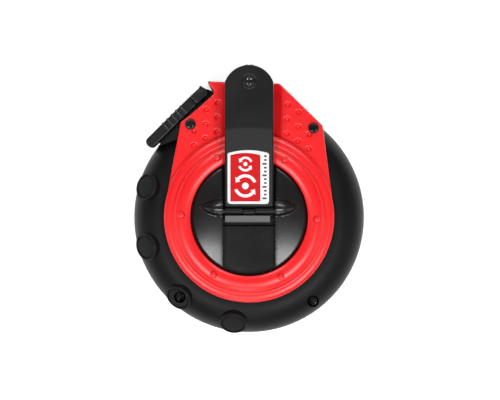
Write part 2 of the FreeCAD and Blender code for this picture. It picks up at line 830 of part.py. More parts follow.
def screw(label, x, y, seat, length, head_radius, radius, head_height, cross):
    # a cross-recessed screw at a place, its head on the height seat
    body = new_body(label)
    edge = f"{head_height} * 0.35"
    rise = f"({head_height} - {edge})"
    arch = f"({head_radius} ^ 2 + {rise} ^ 2) / (2 * {rise})"
    profile = [
        ("0", f"{seat} - {length}"),
        (radius, f"{seat} - {length}"),
        (radius, seat),
        (head_radius, seat),
        (head_radius, f"{seat} + {edge}", arch, -1),
        ("0", f"{seat} + {head_height}"),
    ]
    revolve(body, [profile])
    reach, half = f"{cross} * 1.5", f"{cross} * 0.4"
    loop = []
    for turn in range(4):
        for u, v in [(reach, f"-({half})"), (reach, half), (half, half)]:
            loop.append([(u, v), (f"-({v})", u), (f"-({u})", f"-({v})"), (v, f"-({u})")][turn])
    pocket(body, [loop], f"{seat} + {head_height} - {cross} * 1.2", f"{seat} + {head_height}")
    bind(body, Placement__Base__x=x, Placement__Base__y=y)
    return body


def group(label, things):
    compound = doc.addObject("Part::Compound", label)
    compound.Links = things
    return keep(compound, label)


big_head = ("screw_head_radius", "screw_radius", "screw_head_height", "cross_size")
for label, places, seat, length in (
    ("case_screws", lower_screws, "sunk_head_seat", "case_screw_length"),
    ("plate_screws", upper_screws, f"({plate_top})", "plate_screw_length"),
):
    pair = []
    for side, (x, y) in zip(("_right", "_left"), places):
        pair.append(screw(label + side, x, y, seat, length, *big_head))
    group(label, pair)

# Grip pads: round rubber discs with a raised rim, tilted on the front rim
pad_reach = "pad_radius - running"
pad_profile = [
    ("0", "-pad_thickness"),
    (pad_reach, "-pad_thickness"),
    (pad_reach, "-pad_groove"),
    (f"{pad_reach} - pad_groove", "0"),
    (f"{pad_reach} - pad_rim", "0"),
    (f"{pad_reach} - pad_rim - pad_groove", "-pad_groove"),
    (f"{pad_reach} - pad_rim - 2 * pad_groove", "0"),
    ("0", "0"),
]
screw_pad = 2
for index in range(int(value("pad_count"))):
    disc = new_body(f"grip_disc_{index + 1}")
    revolve(disc, [pad_profile])
    angle = f"(pad_start + {index} * pad_pitch)"
    turn = Rotation(up, value(angle)).multiply(Rotation(Vector(0, 1, 0), 45))
    disc.Placement = Placement(Vector(), turn)
    bind(
        disc,
        Placement__Base__x=f"pad_ring * cos({angle})",
        Placement__Base__y=f"pad_ring * sin({angle})",
        Placement__Base__z="pad_height",
    )
    if index == screw_pad:
        bore = doc.addObject("Part::Cylinder", "pad_screw_bore")
        bind(
            bore,
            Radius="screw_head_radius + free_gap",
            Height="case_depth",
            Placement__Base__x="-lower_screw_x",
            Placement__Base__y="-lower_screw_y",
            Placement__Base__z="sunk_head_seat",
        )
        cut = doc.addObject("Part::Cut", "bored_pad")
        cut.Base = disc
        cut.Tool = bore
        disc = cut
    keep(disc, f"grip_pad_{index + 1}")

# Axle, spool and the wound line
axle = new_body("axle")
pad(axle, [("circle", "0", "0", "axle_radius")], "axle_seat", "axle_top")
keep(axle)

spool = new_body("spool")
spool_bore = "axle_radius + 2 * running"
boss_room = "axle_boss_radius + free_gap"
boss_top = "axle_boss_height + free_gap"
spool_profile = [
    (boss_room, "spool_low"),
    ("spool_radius", "spool_low"),
    ("spool_radius", "spool_low + flange_disc"),
    ("core_radius", "spool_low + flange_disc"),
    ("core_radius", "spool_high - flange_disc"),
    ("spool_radius", "spool_high - flange_disc"),
    ("spool_radius", "spool_high"),
    ("spigot_radius + running", "spool_high"),
    ("spigot_radius + running", "spool_high - spigot_depth"),
    (spool_bore, "spool_high - spigot_depth"),
    (spool_bore, boss_top),
    (boss_room, boss_top),
]
revolve(spool, [spool_profile])
keep(spool)

winding = new_body("line_winding")
winding_loop = [
    ("core_radius + running", "spool_low + flange_disc + running"),
    ("winding_radius", "spool_low + flange_disc + running"),
    ("winding_radius", "spool_high - flange_disc - running"),
    ("core_radius + running", "spool_high - flange_disc - running"),
]
revolve(winding, [winding_loop])
keep(winding)


def tooth_outline(teeth, addendum, dedendum, thickening, turn):
    # a closed involute outline; thickening widens each tooth on the pitch circle
    pressure = math.radians(value("pressure_angle"))
    module = value("gear_module")
    pitch = module * teeth / 2
    base = pitch * math.cos(pressure)
    root = pitch - dedendum * module
    tip = pitch + addendum * module

    def involute(radius):
        return math.sqrt(max(radius ** 2 / base ** 2 - 1, 0)) - math.acos(min(base / radius, 1))

    def half_angle(radius):
        half = math.pi / (2 * teeth) + thickening / (2 * pitch)
        return half + involute(pitch) - involute(max(radius, base))

    steps = 5
    start = max(root, base)
    flank = [start + (tip - start) * step / steps for step in range(steps + 1)]
    if root < base:
        flank.insert(0, root)
    points = []
    for tooth in range(teeth):
        middle = 2 * math.pi * tooth / teeth + turn
        side = [(radius, middle - half_angle(radius)) for radius in flank]
        side += [(radius, middle + half_angle(radius)) for radius in reversed(flank)]
        for radius, angle in side:
            points.append(Vector(radius * math.cos(angle), radius * math.sin(angle), 0))
    return Part.Face(Part.makePolygon(points + [points[0]]))


def place_feature(label, shape):
    feature = doc.addObject("Part::Feature", label)
    feature.Shape = shape
    return keep(feature, label)


def rod(radius, low, high, x=0, y=0):
    return Part.makeCylinder(value(radius), value(high) - value(low), Vector(x, y, value(low)))


# Gears: the ring under the hub drives three planets on fixed pins, and they drive the sun on the spool
sun_teeth = int(value("sun_teeth"))
planet_teeth = int(value("planet_teeth"))
ring_teeth = sun_teeth + 2 * planet_teeth
gear_rise = Vector(0, 0, value("gear_width"))
gear_seat = Vector(0, 0, value("gear_low"))
thinning = -value("backlash") / 2
gear_high = "gear_low + gear_width"

sun = tooth_outline(sun_teeth, 1, 1.25, thinning, 0).extrude(gear_rise).translated(gear_seat)
sun = sun.fuse(rod("stub_radius", "spool_high", "gear_low"))
sun = sun.fuse(rod("spigot_radius", "spool_high - spigot_depth + running", "spool_high"))
sun = sun.cut(rod(spool_bore, "spool_low", gear_high))
place_feature("sun_gear", sun.removeSplitter())

planet_face = tooth_outline(planet_teeth, 1, 1.25, thinning, math.pi / planet_teeth)
planet_shape = planet_face.extrude(gear_rise).cut(
    Part.makeCylinder(value("planet_pin_radius + running"), value("gear_width"))
)
for index in range(int(value("planet_count"))):
    planet = place_feature(f"planet_gear_{index + 1}", planet_shape)
    angle = f"{index} * 360 / planet_count"
    bind(
        planet,
        Placement__Base__x=f"gear_module * (sun_teeth + planet_teeth) / 2 * cos({angle})",
        Placement__Base__y=f"gear_module * (sun_teeth + planet_teeth) / 2 * sin({angle})",
        Placement__Base__z="gear_low",
    )

ring_space = tooth_outline(ring_teeth, 1.25, 0.8, -thinning, math.pi / ring_teeth)
ring_outer = f"gear_module * ({ring_teeth} / 2 + 1.25) + gear_cup_wall"
cup = rod(ring_outer, "gear_low", "hub_bottom")
cup = cup.cut(ring_space.extrude(Vector(0, 0, value("gear_cup_top - gear_low"))).translated(gear_seat))
cup = cup.cut(rod(spool_bore, "gear_low", "hub_bottom"))
for index in range(int(value("planet_count"))):
    angle = math.radians(value("crank_turn") + index * 360 / value("planet_count"))
    x = value("peg_ring") * math.cos(angle)
    y = value("peg_ring") * math.sin(angle)
    cup = cup.fuse(rod("peg_radius", "hub_bottom", "hub_bottom + peg_height", x, y))
place_feature("ring_gear", cup.removeSplitter())

# Carrier plate, which closes the gear chamber and holds the planets' pins
carrier_low = "collar_bottom - carrier_thickness"
planet_orbit = "gear_module * (sun_teeth + planet_teeth) / 2"
carrier_screw_ring = "collar_radius + collar_wall / 2"
carrier = new_body("carrier_plate")
pad(carrier, [("circle", "0", "0", "collar_radius + collar_wall")], carrier_low, "collar_bottom")
pocket(carrier, [("circle", "0", "0", "stub_radius + free_gap")], carrier_low, "collar_bottom")
pin_places = []
screw_places = []
for index in range(int(value("planet_count"))):
    angle = f"({index} * 360 / planet_count)"
    pin_places.append((f"{planet_orbit} * cos({angle})", f"{planet_orbit} * sin({angle})"))
    angle = f"(({index} + 0.5) * 360 / planet_count)"
    screw_places.append((f"({carrier_screw_ring}) * cos({angle})", f"({carrier_screw_ring}) * sin({angle})"))
pin_bores = circles(pin_places, "planet_pin_radius + running")
screw_bores = circles(screw_places, "carrier_screw_radius + running")
pocket(carrier, pin_bores + screw_bores, carrier_low, "collar_bottom")
keep(carrier)
pocket(front, screw_bores, "collar_bottom", "collar_bottom + carrier_screw_length")

pins = []
for index, (x, y) in enumerate(pin_places):
    pin = doc.addObject("Part::Cylinder", f"planet_pin_{index + 1}")
    bind(pin, Radius="planet_pin_radius", Height=f"{gear_high} - ({carrier_low})")
    bind(pin, Placement__Base__x=x, Placement__Base__y=y, Placement__Base__z=carrier_low)
    pins.append(pin)
group("planet_pins", pins)

screws = []
for index, (x, y) in enumerate(screw_places):
    shank = doc.addObject("Part::Cylinder", f"carrier_shank_{index + 1}")
    bind(shank, Radius="carrier_screw_radius", Height="carrier_thickness + carrier_screw_length - free_gap")
    head = doc.addObject("Part::Cylinder", f"carrier_head_{index + 1}")
    bind(head, Radius="carrier_screw_head", Height="carrier_head_height")
    bind(shank, Placement__Base__x=x, Placement__Base__y=y, Placement__Base__z=carrier_low)
    head_low = f"{carrier_low} - carrier_head_height"
    bind(head, Placement__Base__x=x, Placement__Base__y=y, Placement__Base__z=head_low)
    fused = doc.addObject("Part::Fuse", f"carrier_screw_{index + 1}")
    fused.Base = shank
    fused.Tool = head
    screws.append(fused)
group("carrier_screws", screws)

seal = new_body("gear_seal")
seal_low = f"{carrier_low} - seal_thickness"
seal_ring = [("circle", "0", "0", "seal_outer"), ("circle", "0", "0", "stub_radius + free_gap")]
pad(seal, seal_ring, seal_low, carrier_low)
keep(seal)

# Mouth: a metal eyelet between the shells with a felt ring that wipes the line
ferrule = new_body("mouth_ferrule")
rim_low = "case_radius + running"
ferrule_profile = [
    ("ferrule_bore", "case_radius - ferrule_length"),
    ("ferrule_radius - running", "case_radius - ferrule_length"),
    ("ferrule_radius - running", rim_low),
    ("ferrule_flange", rim_low),
    ("ferrule_flange", f"{rim_low} + ferrule_rim"),
    ("ferrule_bore", f"{rim_low} + ferrule_rim"),
]
revolve(ferrule, [ferrule_profile])
wiper = new_body("felt_wiper")
wiper_profile = [
    ("line_hole", "case_radius - ferrule_length + running"),
    ("ferrule_bore - running", "case_radius - ferrule_length + running"),
    ("ferrule_bore - running", "case_radius - running"),
    ("line_hole", "case_radius - running"),
]
revolve(wiper, [wiper_profile])
for thing in (ferrule, wiper):
    thing.Placement = Placement(Vector(), Rotation(Vector(1, 0, 0), -90))
    bind(thing, Placement__Base__z="parting")
    keep(thing)

doc.recompute()
failed = [thing.Name for thing in doc.Objects if {"Invalid", "Error"} & set(thing.State)]
if failed:
    raise RuntimeError("these features failed: " + ", ".join(failed))
for thing in parts:
    if thing.Shape.isNull() or not thing.Shape.isValid():
        raise RuntimeError(thing.Label + " has no valid shape")

os.makedirs("parts", exist_ok=True)
for thing in parts:
    thing.Shape.exportStep(f"parts/{thing.Label}.step")
    print(thing.Label, len(thing.Shape.Solids), round(thing.Shape.Volume, 1))
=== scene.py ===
import math

import bmesh
import bpy
import numpy as np
from mathutils import Matrix, Vector
from mathutils.geometry import delaunay_2d_cdt


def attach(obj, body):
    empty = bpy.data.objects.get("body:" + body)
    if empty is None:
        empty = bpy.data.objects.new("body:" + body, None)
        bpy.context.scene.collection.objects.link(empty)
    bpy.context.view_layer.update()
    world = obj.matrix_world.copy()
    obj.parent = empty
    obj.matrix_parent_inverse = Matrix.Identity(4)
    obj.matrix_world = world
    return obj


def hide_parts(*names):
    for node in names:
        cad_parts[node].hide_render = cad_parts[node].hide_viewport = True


# Chalk line reel lying on its back. Pieces are drawn in millimetres and scaled to metres
# as their mesh is made.
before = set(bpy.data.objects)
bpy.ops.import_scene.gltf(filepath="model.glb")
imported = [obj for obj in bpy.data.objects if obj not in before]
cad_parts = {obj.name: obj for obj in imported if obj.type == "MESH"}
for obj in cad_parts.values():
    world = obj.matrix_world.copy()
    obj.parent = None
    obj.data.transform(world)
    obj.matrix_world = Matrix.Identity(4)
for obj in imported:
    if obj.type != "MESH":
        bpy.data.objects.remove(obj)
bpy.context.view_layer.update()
print("frame loaded")

millimetre = 0.001
weldGap = 0.0005  # points nearer than this, in millimetres, become one
crankTurn = math.radians(1.8)  # the arm stands a little off the reel's own axis
crankMatrix = Matrix.Rotation(crankTurn, 4, "Z")


# mesh helpers

def shade(obj, sharpAngle=32):
    # smooth faces, with a sharp edge wherever two faces meet at more than the angle
    bm = bmesh.new()
    bm.from_mesh(obj.data)
    limit = math.radians(sharpAngle)
    for face in bm.faces:
        face.smooth = True
    for edge in bm.edges:
        edge.smooth = len(edge.link_faces) == 2 and edge.calc_face_angle(0) < limit
    bm.to_mesh(obj.data)
    bm.free()
    return obj


def newPiece(name, bm, place=None, sharpAngle=32):
    bmesh.ops.remove_doubles(bm, verts=bm.verts, dist=weldGap)
    bmesh.ops.recalc_face_normals(bm, faces=bm.faces)
    if place is not None:
        bmesh.ops.transform(bm, matrix=place, verts=bm.verts)
    bmesh.ops.scale(bm, vec=(millimetre, millimetre, millimetre), verts=bm.verts)
    mesh = bpy.data.meshes.new(name)
    bm.to_mesh(mesh)
    bm.free()
    obj = bpy.data.objects.new(name, mesh)
    bpy.context.scene.collection.objects.link(obj)
    return shade(obj, sharpAngle)


def softened(corners, closed=True, steps=6):
    # corners are (x, y) or (x, y, radius); each one with a radius becomes an arc
    points = []
    count = len(corners)
    for index, corner in enumerate(corners):
        here = Vector(corner[:2])
        atEnd = not closed and index in (0, count - 1)
        if len(corner) < 3 or atEnd:
            points.append(tuple(here))
            continue
        before = (Vector(corners[index - 1][:2]) - here).normalized()
        after = (Vector(corners[(index + 1) % count][:2]) - here).normalized()
        half = before.angle(after) / 2
        reach = corner[2] / math.tan(half)
        middle = here + (before + after).normalized() * (corner[2] / math.sin(half))
        start = here + before * reach - middle
        end = here + after * reach - middle
        sweep = start.angle_signed(end)
        for step in range(steps + 1):
            turn = Matrix.Rotation(-sweep * step / steps, 2)
            points.append(tuple(middle + turn @ start))
    return points


def arcBetween(start, end, radius, steps=12):
    # points of an arc that bulges to the right of the way from start to end
    chord = Vector(end) - Vector(start)
    right = Vector((chord.y, -chord.x)).normalized()
    middle = (Vector(start) + Vector(end)) / 2 - right * math.sqrt(radius ** 2 - (chord.length / 2) ** 2)
    first = Vector(start) - middle
    sweep = first.angle_signed(Vector(end) - middle)
    return [tuple(middle + Matrix.Rotation(-sweep * step / steps, 2) @ first) for step in range(steps + 1)]


def turnedMesh(profile, segments=128, closed=True):
    # a body of revolution about Z from (radius, height) points
    bm = bmesh.new()
    rings = []
    for step in range(segments):
        angle = 2 * math.pi * step / segments
        ring = [bm.verts.new((r * math.cos(angle), r * math.sin(angle), z)) for r, z in profile]
        rings.append(ring)
    count = len(profile)
    last = count if closed else count - 1
    for step in range(segments):
        here, following = rings[step], rings[(step + 1) % segments]
        for index in range(last):
            after = (index + 1) % count
            bm.faces.new((here[index], following[index], following[after], here[after]))
    bmesh.ops.remove_doubles(bm, verts=bm.verts, dist=weldGap)
    bmesh.ops.dissolve_degenerate(bm, edges=bm.edges, dist=0.0004)
    return bm


def addMesh(target, source, place=None):
    # join one mesh into another
    if place is not None:
        bmesh.ops.transform(source, matrix=place, verts=source.verts)
    held = bpy.data.meshes.new("held")
    source.to_mesh(held)
    source.free()
    target.from_mesh(held)
    bpy.data.meshes.remove(held)
    return target


def resample(loop, spacing):
    points = []
    for index, start in enumerate(loop):
        a = np.array(start)
        b = np.array(loop[(index + 1) % len(loop)])
        pieces = max(1, int(math.ceil(np.linalg.norm(b - a) / spacing)))
        for step in range(pieces):
            points.append(a + (b - a) * step / pieces)
    return np.array(points)


def edgeDistance(points, loop):
    # distance of each point to a closed loop
    best = np.full(len(points), 1e9)
    for start, end in zip(loop, np.roll(loop, -1, axis=0)):
        way = end - start
        share = np.clip(((points - start) @ way) / max(way @ way, 1e-12), 0, 1)
        nearest = start + share[:, None] * way
        best = np.minimum(best, np.linalg.norm(points - nearest, axis=1))
    return best


def insideLoop(points, loop):
    inside = np.zeros(len(points), bool)
    x, y = points[:, 0], points[:, 1]
    for (ax, ay), (bx, by) in zip(loop, np.roll(loop, -1, axis=0)):
        crosses = (ay > y) != (by > y)
        with np.errstate(divide="ignore", invalid="ignore"):
            at = (bx - ax) * (y - ay) / (by - ay) + ax
        inside ^= crosses & (x < at)
    return inside


def roundDrop(distance, radius):
    # how far a rounded edge lies under its face, by the distance from the outline
    inner = radius - np.clip(distance, 0, radius)
    return radius - np.sqrt(np.maximum(radius ** 2 - inner ** 2, 0))


def smoothStep(value, low, high):
    t = np.clip((value - low) / (high - low), 0, 1)
    return t * t * (3 - 2 * t)


def level(height):
    # a flat face for reliefMesh
    return lambda x, y, edge: np.full(len(x), height)


def rounded(height, radius, up=1):
    # a flat face with a rounded edge, looking up or, with up=-1, down
    return lambda x, y, edge: height - up * roundDrop(edge, radius)


def circle(radius, count, x=0, y=0):
    turns = [2 * math.pi * index / count for index in range(count)]
    return [(x + radius * math.cos(turn), y + radius * math.sin(turn)) for turn in turns]


# how reliefMesh spreads its points: shares of the spacing, or millimetres
reliefRules = {
    "rowPitch": 0.866,  # rows of a grid of even triangles
    "rimKept": 0.93,  # share of its inset that a rim point has to keep
    "rimGap": 0.3,  # from the grid to the last rim
    "circleGap": 0.2,  # from the grid to the widest circle
    "circleStep": 0.32,  # millimetres from point to point on a circle
    "creaseGap": 0.35,  # from the grid to a crease
    "creaseClear": 0.04,  # millimetres from the rims and circles to a crease
}


def reliefMesh(outline, topAt, bottomAt, spacing=0.8, rims=(0.1, 0.3, 0.6, 1.0), circles=(), creases=()):
    # A solid over an outline. topAt and bottomAt give heights from x, y and the distance to the outline.
    # circles are (x, y, radii) with rings of points, and creases are lines that the mesh's edges follow.
    border = resample(outline, spacing)
    away = np.roll(border, -1, axis=0) - np.roll(border, 1, axis=0)
    normal = np.stack([-away[:, 1], away[:, 0]], axis=1) / np.linalg.norm(away, axis=1)[:, None]
    if not insideLoop(border[:1] + normal[:1] * 0.05, border)[0]:
        normal = -normal
    groups = []
    for rim in rims:
        ring = border + normal * rim
        ring = ring[insideLoop(ring, border)]
        groups.append(ring[edgeDistance(ring, border) > rim * reliefRules["rimKept"]])
    lineEdges = []
    linePoints = []
    for start, end in creases:
        pieces = max(2, int(math.dist(start, end) / spacing))
        first = len(border) + len(linePoints)
        for step in range(pieces + 1):
            share = step / pieces
            linePoints.append([a + (b - a) * share for a, b in zip(start, end)])
        lineEdges += [(first + step, first + step + 1) for step in range(pieces)]
    low, high = border.min(axis=0), border.max(axis=0)
    columns = np.arange(low[0], high[0], spacing)
    rows = np.arange(low[1], high[1], spacing * reliefRules["rowPitch"])
    grid = np.array([(x + (row % 2) * spacing / 2, y) for row, y in enumerate(rows) for x in columns])
    grid = grid[insideLoop(grid, border)]
    grid = grid[edgeDistance(grid, border) > max(rims) + spacing * reliefRules["rimGap"]]
    for x, y, radii in circles:
        clear = max(radii) + spacing * reliefRules["circleGap"]
        grid = grid[np.hypot(grid[:, 0] - x, grid[:, 1] - y) > clear]
        for radius in radii:
            count = max(10, int(2 * math.pi * radius / reliefRules["circleStep"]))
            turns = np.arange(count) * 2 * math.pi / count
            ring = np.stack([x + radius * np.cos(turns), y + radius * np.sin(turns)], axis=1)
            groups.append(ring[insideLoop(ring, border)])
    for start, end in creases:
        crease = np.array([start, end])
        grid = grid[edgeDistance(grid, crease) > spacing * reliefRules["creaseGap"]]
        groups = [group[edgeDistance(group, crease) > reliefRules["creaseClear"]] for group in groups]
    everyPoint = np.concatenate([border, np.array(linePoints).reshape(-1, 2), grid, *groups])
    borderEdges = [(index, (index + 1) % len(border)) for index in range(len(border))]
    flat = [Vector(point) for point in everyPoint.tolist()]
    made = delaunay_2d_cdt(flat, borderEdges + lineEdges, [], 1, 1e-5)
    points = np.array([tuple(point) for point in made[0]])
    faces = made[2]
    depth = edgeDistance(points, border)
    tops = topAt(points[:, 0], points[:, 1], depth)
    bottoms = bottomAt(points[:, 0], points[:, 1], depth)
    bm = bmesh.new()
    upper = [bm.verts.new((p[0], p[1], z)) for p, z in zip(points, tops)]
    lower = [bm.verts.new((p[0], p[1], z)) for p, z in zip(points, bottoms)]
    for face in faces:
        bm.faces.new([upper[index] for index in face])
        bm.faces.new([lower[index] for index in reversed(face)])
    openEdges = [edge for edge in bm.edges if len(edge.link_faces) == 1]
    below = dict(zip(upper, lower))
    for edge in openEdges:
        a, b = edge.verts
        if a in below:
            bm.faces.new((a, b, below[b], below[a]))
    bm.normal_update()
    return bm


# materials

def plastic(name, look):
    # Moulded plastic, rubber, print and metal share this tree: a base colour with slow and fine variation,
    # a roughness that follows it, and a bump made of grain, faint ripples and hairline scratches.
    material = bpy.data.materials.new(name)
    material.use_nodes = True
    nodes, links = material.node_tree.nodes, material.node_tree.links
    shader = nodes["Principled BSDF"]
    place = nodes.new("ShaderNodeTexCoord")

    slow = nodes.new("ShaderNodeTexNoise")
    slow.inputs["Scale"].default_value = look.get("cloudScale", 45)
    slow.inputs["Detail"].default_value = 4
    links.new(place.outputs["Object"], slow.inputs["Vector"])
    fine = nodes.new("ShaderNodeTexNoise")
    fine.inputs["Scale"].default_value = look.get("grainScale", 2600)
    fine.inputs["Detail"].default_value = 3
    links.new(place.outputs["Object"], fine.inputs["Vector"])

    tint = nodes.new("ShaderNodeMix")
    tint.data_type = "RGBA"
    tint.inputs[6].default_value = (*look["colour"], 1)
    tint.inputs[7].default_value = (*look.get("cloudColour", look["colour"]), 1)
    spread = nodes.new("ShaderNodeMapRange")
    spread.inputs["From Min"].default_value = 0.38
    spread.inputs["From Max"].default_value = 0.68
    links.new(slow.outputs["Fac"], spread.inputs["Value"])
    links.new(spread.outputs["Result"], tint.inputs[0])

    # light specks of dust or flecks in the plastic
    specks = nodes.new("ShaderNodeTexVoronoi")
    specks.inputs["Scale"].default_value = look.get("speckScale", 700)
    links.new(place.outputs["Object"], specks.inputs["Vector"])
    dotted = nodes.new("ShaderNodeMapRange")
    dotted.inputs["From Min"].default_value = look.get("speckSize", 0.07)
    dotted.inputs["From Max"].default_value = 0
    dotted.inputs["To Max"].default_value = look.get("speckStrength", 0.25)
    links.new(specks.outputs["Distance"], dotted.inputs["Value"])
    dusted = nodes.new("ShaderNodeMix")
    dusted.data_type = "RGBA"
    dusted.inputs[7].default_value = (*look.get("speckColour", (0.4, 0.4, 0.42)), 1)
    links.new(tint.outputs[2], dusted.inputs[6])
    links.new(dotted.outputs["Result"], dusted.inputs[0])
    links.new(dusted.outputs[2], shader.inputs["Base Color"])

    rough = nodes.new("ShaderNodeMapRange")
    rough.inputs["From Min"].default_value = 0.3
    rough.inputs["From Max"].default_value = 0.7
    rough.inputs["To Min"].default_value = look["roughness"] - look.get("roughSpread", 0.05)
    rough.inputs["To Max"].default_value = look["roughness"] + look.get("roughSpread", 0.05)
    links.new(slow.outputs["Fac"], rough.inputs["Value"])
    links.new(rough.outputs["Result"], shader.inputs["Roughness"])

    scratches = nodes.new("ShaderNodeTexNoise")
    scratches.inputs["Scale"].default_value = 60
    scratches.inputs["Detail"].default_value = 2
    squeeze = nodes.new("ShaderNodeMapping")
    squeeze.inputs["Scale"].default_value = look.get("brushing", (1, 1, 1))
    links.new(place.outputs["Object"], squeeze.inputs["Vector"])
    links.new(squeeze.outputs["Vector"], scratches.inputs["Vector"])

    ripple = nodes.new("ShaderNodeBump")
    ripple.inputs["Strength"].default_value = look.get("rippleStrength", 0.05)
    ripple.inputs["Distance"].default_value = 0.0006
    links.new(scratches.outputs["Fac"], ripple.inputs["Height"])
    grain = nodes.new("ShaderNodeBump")
    grain.inputs["Strength"].default_value = look.get("grainStrength", 0.2)
    grain.inputs["Distance"].default_value = look.get("grainDepth", 0.00008)
    links.new(fine.outputs["Fac"], grain.inputs["Height"])
    links.new(ripple.outputs["Normal"], grain.inputs["Normal"])
    links.new(grain.outputs["Normal"], shader.inputs["Normal"])

    shader.inputs["Metallic"].default_value = look.get("metallic", 0)
    shader.inputs["IOR"].default_value = look.get("ior", 1.46)
    shader.inputs["Specular IOR Level"].default_value = look.get("specular", 0.5)
    shader.inputs["Coat Weight"].default_value = look.get("coat", 0)
    shader.inputs["Coat Roughness"].default_value = look.get("coatRoughness", 0.1)
    shader.inputs["Sheen Weight"].default_value = look.get("sheen", 0)
    return material


looks = {
    "case_black": dict(colour=(0.0045, 0.0045, 0.0048), cloudColour=(0.006, 0.006, 0.0064),
                       roughness=0.45, specular=0.18,
                       grainStrength=0.28, grainScale=2200, speckStrength=0.05),
    "plate_red": dict(colour=(0.86, 0.0085, 0.012), cloudColour=(0.9, 0.0105, 0.014),
                      roughness=0.38, specular=0.12,
                      grainStrength=0.06, coat=0.8, coatRoughness=0.3, speckStrength=0.03,
                      speckColour=(0.6, 0.02, 0.02)),
    "hub_black": dict(colour=(0.0062, 0.0062, 0.0064), cloudColour=(0.0078, 0.0078, 0.008), roughness=0.26,
                      grainStrength=0.1, coat=0.2, coatRoughness=0.2, speckStrength=0.05),
    "arm_black": dict(colour=(0.005, 0.005, 0.0052), cloudColour=(0.0065, 0.0065, 0.0067),
                      roughness=0.42, specular=0.28,
                      grainStrength=0.3, grainScale=2400, speckStrength=0.05),
    "hatch_black": dict(colour=(0.0028, 0.0028, 0.003), cloudColour=(0.0045, 0.0045, 0.0048),
                        roughness=0.45, specular=0.35,
                        grainStrength=0.4, grainScale=1800, brushing=(1, 1, 0.2), speckStrength=0.07),
    "label_print": dict(colour=(0.82, 0.82, 0.83), cloudColour=(0.86, 0.86, 0.87), roughness=0.4,
                        grainStrength=0.05, speckStrength=0.02),
    "pad_rubber": dict(colour=(0.004, 0.004, 0.0043), cloudColour=(0.0055, 0.0055, 0.006),
                       roughness=0.5, specular=0.2,
                       grainStrength=0.35, grainScale=1800, speckStrength=0.1),
    "screw_black": dict(colour=(0.02, 0.02, 0.0205), cloudColour=(0.034, 0.034, 0.035), roughness=0.3,
                        metallic=0.7, grainStrength=0.08, speckStrength=0.05),
    "rivet_black": dict(colour=(0.008, 0.008, 0.0085), cloudColour=(0.012, 0.012, 0.012), roughness=0.24,
                        coat=0.4, grainStrength=0.06, speckStrength=0.05),
    "steel": dict(colour=(0.52, 0.52, 0.53), cloudColour=(0.6, 0.6, 0.61), roughness=0.26, metallic=1,
                  brushing=(1, 1, 14), rippleStrength=0.12, speckStrength=0.1),
    "gear_white": dict(colour=(0.72, 0.7, 0.64), cloudColour=(0.78, 0.76, 0.7), roughness=0.36,
                       grainStrength=0.1, speckStrength=0.05),
    "spool_grey": dict(colour=(0.18, 0.185, 0.19), cloudColour=(0.21, 0.215, 0.22), roughness=0.4,
                       grainStrength=0.15, speckStrength=0.15),
    "line_cotton": dict(colour=(0.66, 0.62, 0.52), cloudColour=(0.5, 0.47, 0.4), roughness=0.9,
                        grainStrength=0.8, grainScale=3500, sheen=0.4, speckStrength=0.3),
    "felt": dict(colour=(0.3, 0.29, 0.27), cloudColour=(0.4, 0.38, 0.35), roughness=0.95,
                 grainStrength=1, grainScale=2500, sheen=0.5, speckStrength=0.3),
    "brass": dict(colour=(0.62, 0.6, 0.55), cloudColour=(0.7, 0.67, 0.6), roughness=0.25, metallic=1,
                  brushing=(1, 1, 10), rippleStrength=0.1, speckStrength=0.1),
    # painted highlight: the hatch's ridge crests and edge lines, far lighter than the hatch
    "hatch_crest_painted_highlight": dict(colour=(0.2, 0.2, 0.205), cloudColour=(0.06, 0.06, 0.062), cloudScale=300,
                      roughness=0.4, grainStrength=0.2, speckStrength=0.1),
    # painted highlight: the heel's slope, a lighter grey than the arm
    "heel_painted_highlight": dict(colour=(0.115, 0.115, 0.117), cloudColour=(0.13, 0.13, 0.133), roughness=0.45,
                      grainStrength=0.15, speckStrength=0.1),
    "label_red": dict(colour=(0.6, 0.003, 0.006), cloudColour=(0.63, 0.004, 0.007),
                      roughness=0.5, specular=0.15,
                      grainStrength=0.05, speckStrength=0.02),
    "label_ink": dict(colour=(0.02, 0.02, 0.022), cloudColour=(0.03, 0.03, 0.032), roughness=0.4,
                      grainStrength=0.05, speckStrength=0.02),
}
paints = {name: plastic(name, look) for name, look in looks.items()}
print("materials ready:", len(paints))


def finish(obj, slot, body, nodes=(), paint=None):
    # a new piece gets its finish, rides on its body and stands for its solids
    obj.data.materials.clear()
    obj.data.materials.append(paints[paint or slot])
    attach(obj, body)
    if nodes:
        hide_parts(*nodes)
    return obj


# red face plate

faceLook = {
    "top": 44.5,
    "underside": 42.0,
    "edgeRound": 0.9,
    # the ring's section in (radius, height): outer wall, low band, valley, broad bulge and lip
    "wallTop": (42.3, 46.3),
    "bandStart": (41.7, 47.3),
    "valley": (38.6, 48.0),
    "bulgeStart": (36.5, 49.5),
    "bulgeEnd": (29.5, 49.9),
    "lip": ((29.25, 49.7), (29.2, 49.4), (29.2, 44.3)),
    "foot": ((31.3, 42.0), (42.3, 42.0)),
    # the wings beside the arm: (x, y, corner radius)
    "rightWing": ((10.2, 41.0), (42.2, 4.0), (41.7, 6.9), (35.1, 46.8, 2.2), (13.05, 67.0, 1.6),
                  (10.2, 67.0, 0.5)),
    "leftWing": ((-10.2, 41.0), (-10.2, 66.9, 0.4), (-22.1, 66.9, 1.0), (-21.7, 64.9, 1.2),
                 (-19.5, 62.1, 0.9), (-19.7, 60.5, 0.6), (-20.9, 59.2, 0.6), (-31.7, 49.2, 3.0),
                 (-35.4, 46.3, 1.6), (-41.7, 6.9), (-42.2, 4.0)),
    "bevelStart": 14.5,
    "bevelWidth": 4.3,
    "bevelDrop": 2.2,
    "dimpleRadius": 1.55,
    "dimpleDepth": 1.15,
    "dimpleColumns": ((17.4, 42.0, 3), (23.0, 38.4, 3), (28.6, 34.8, 2)),  # x, lowest y, count
    "dimpleStep": 7.2,
    "domeRing": 33.5,
    "domeRadius": 1.85,
    "domes": 6,
}


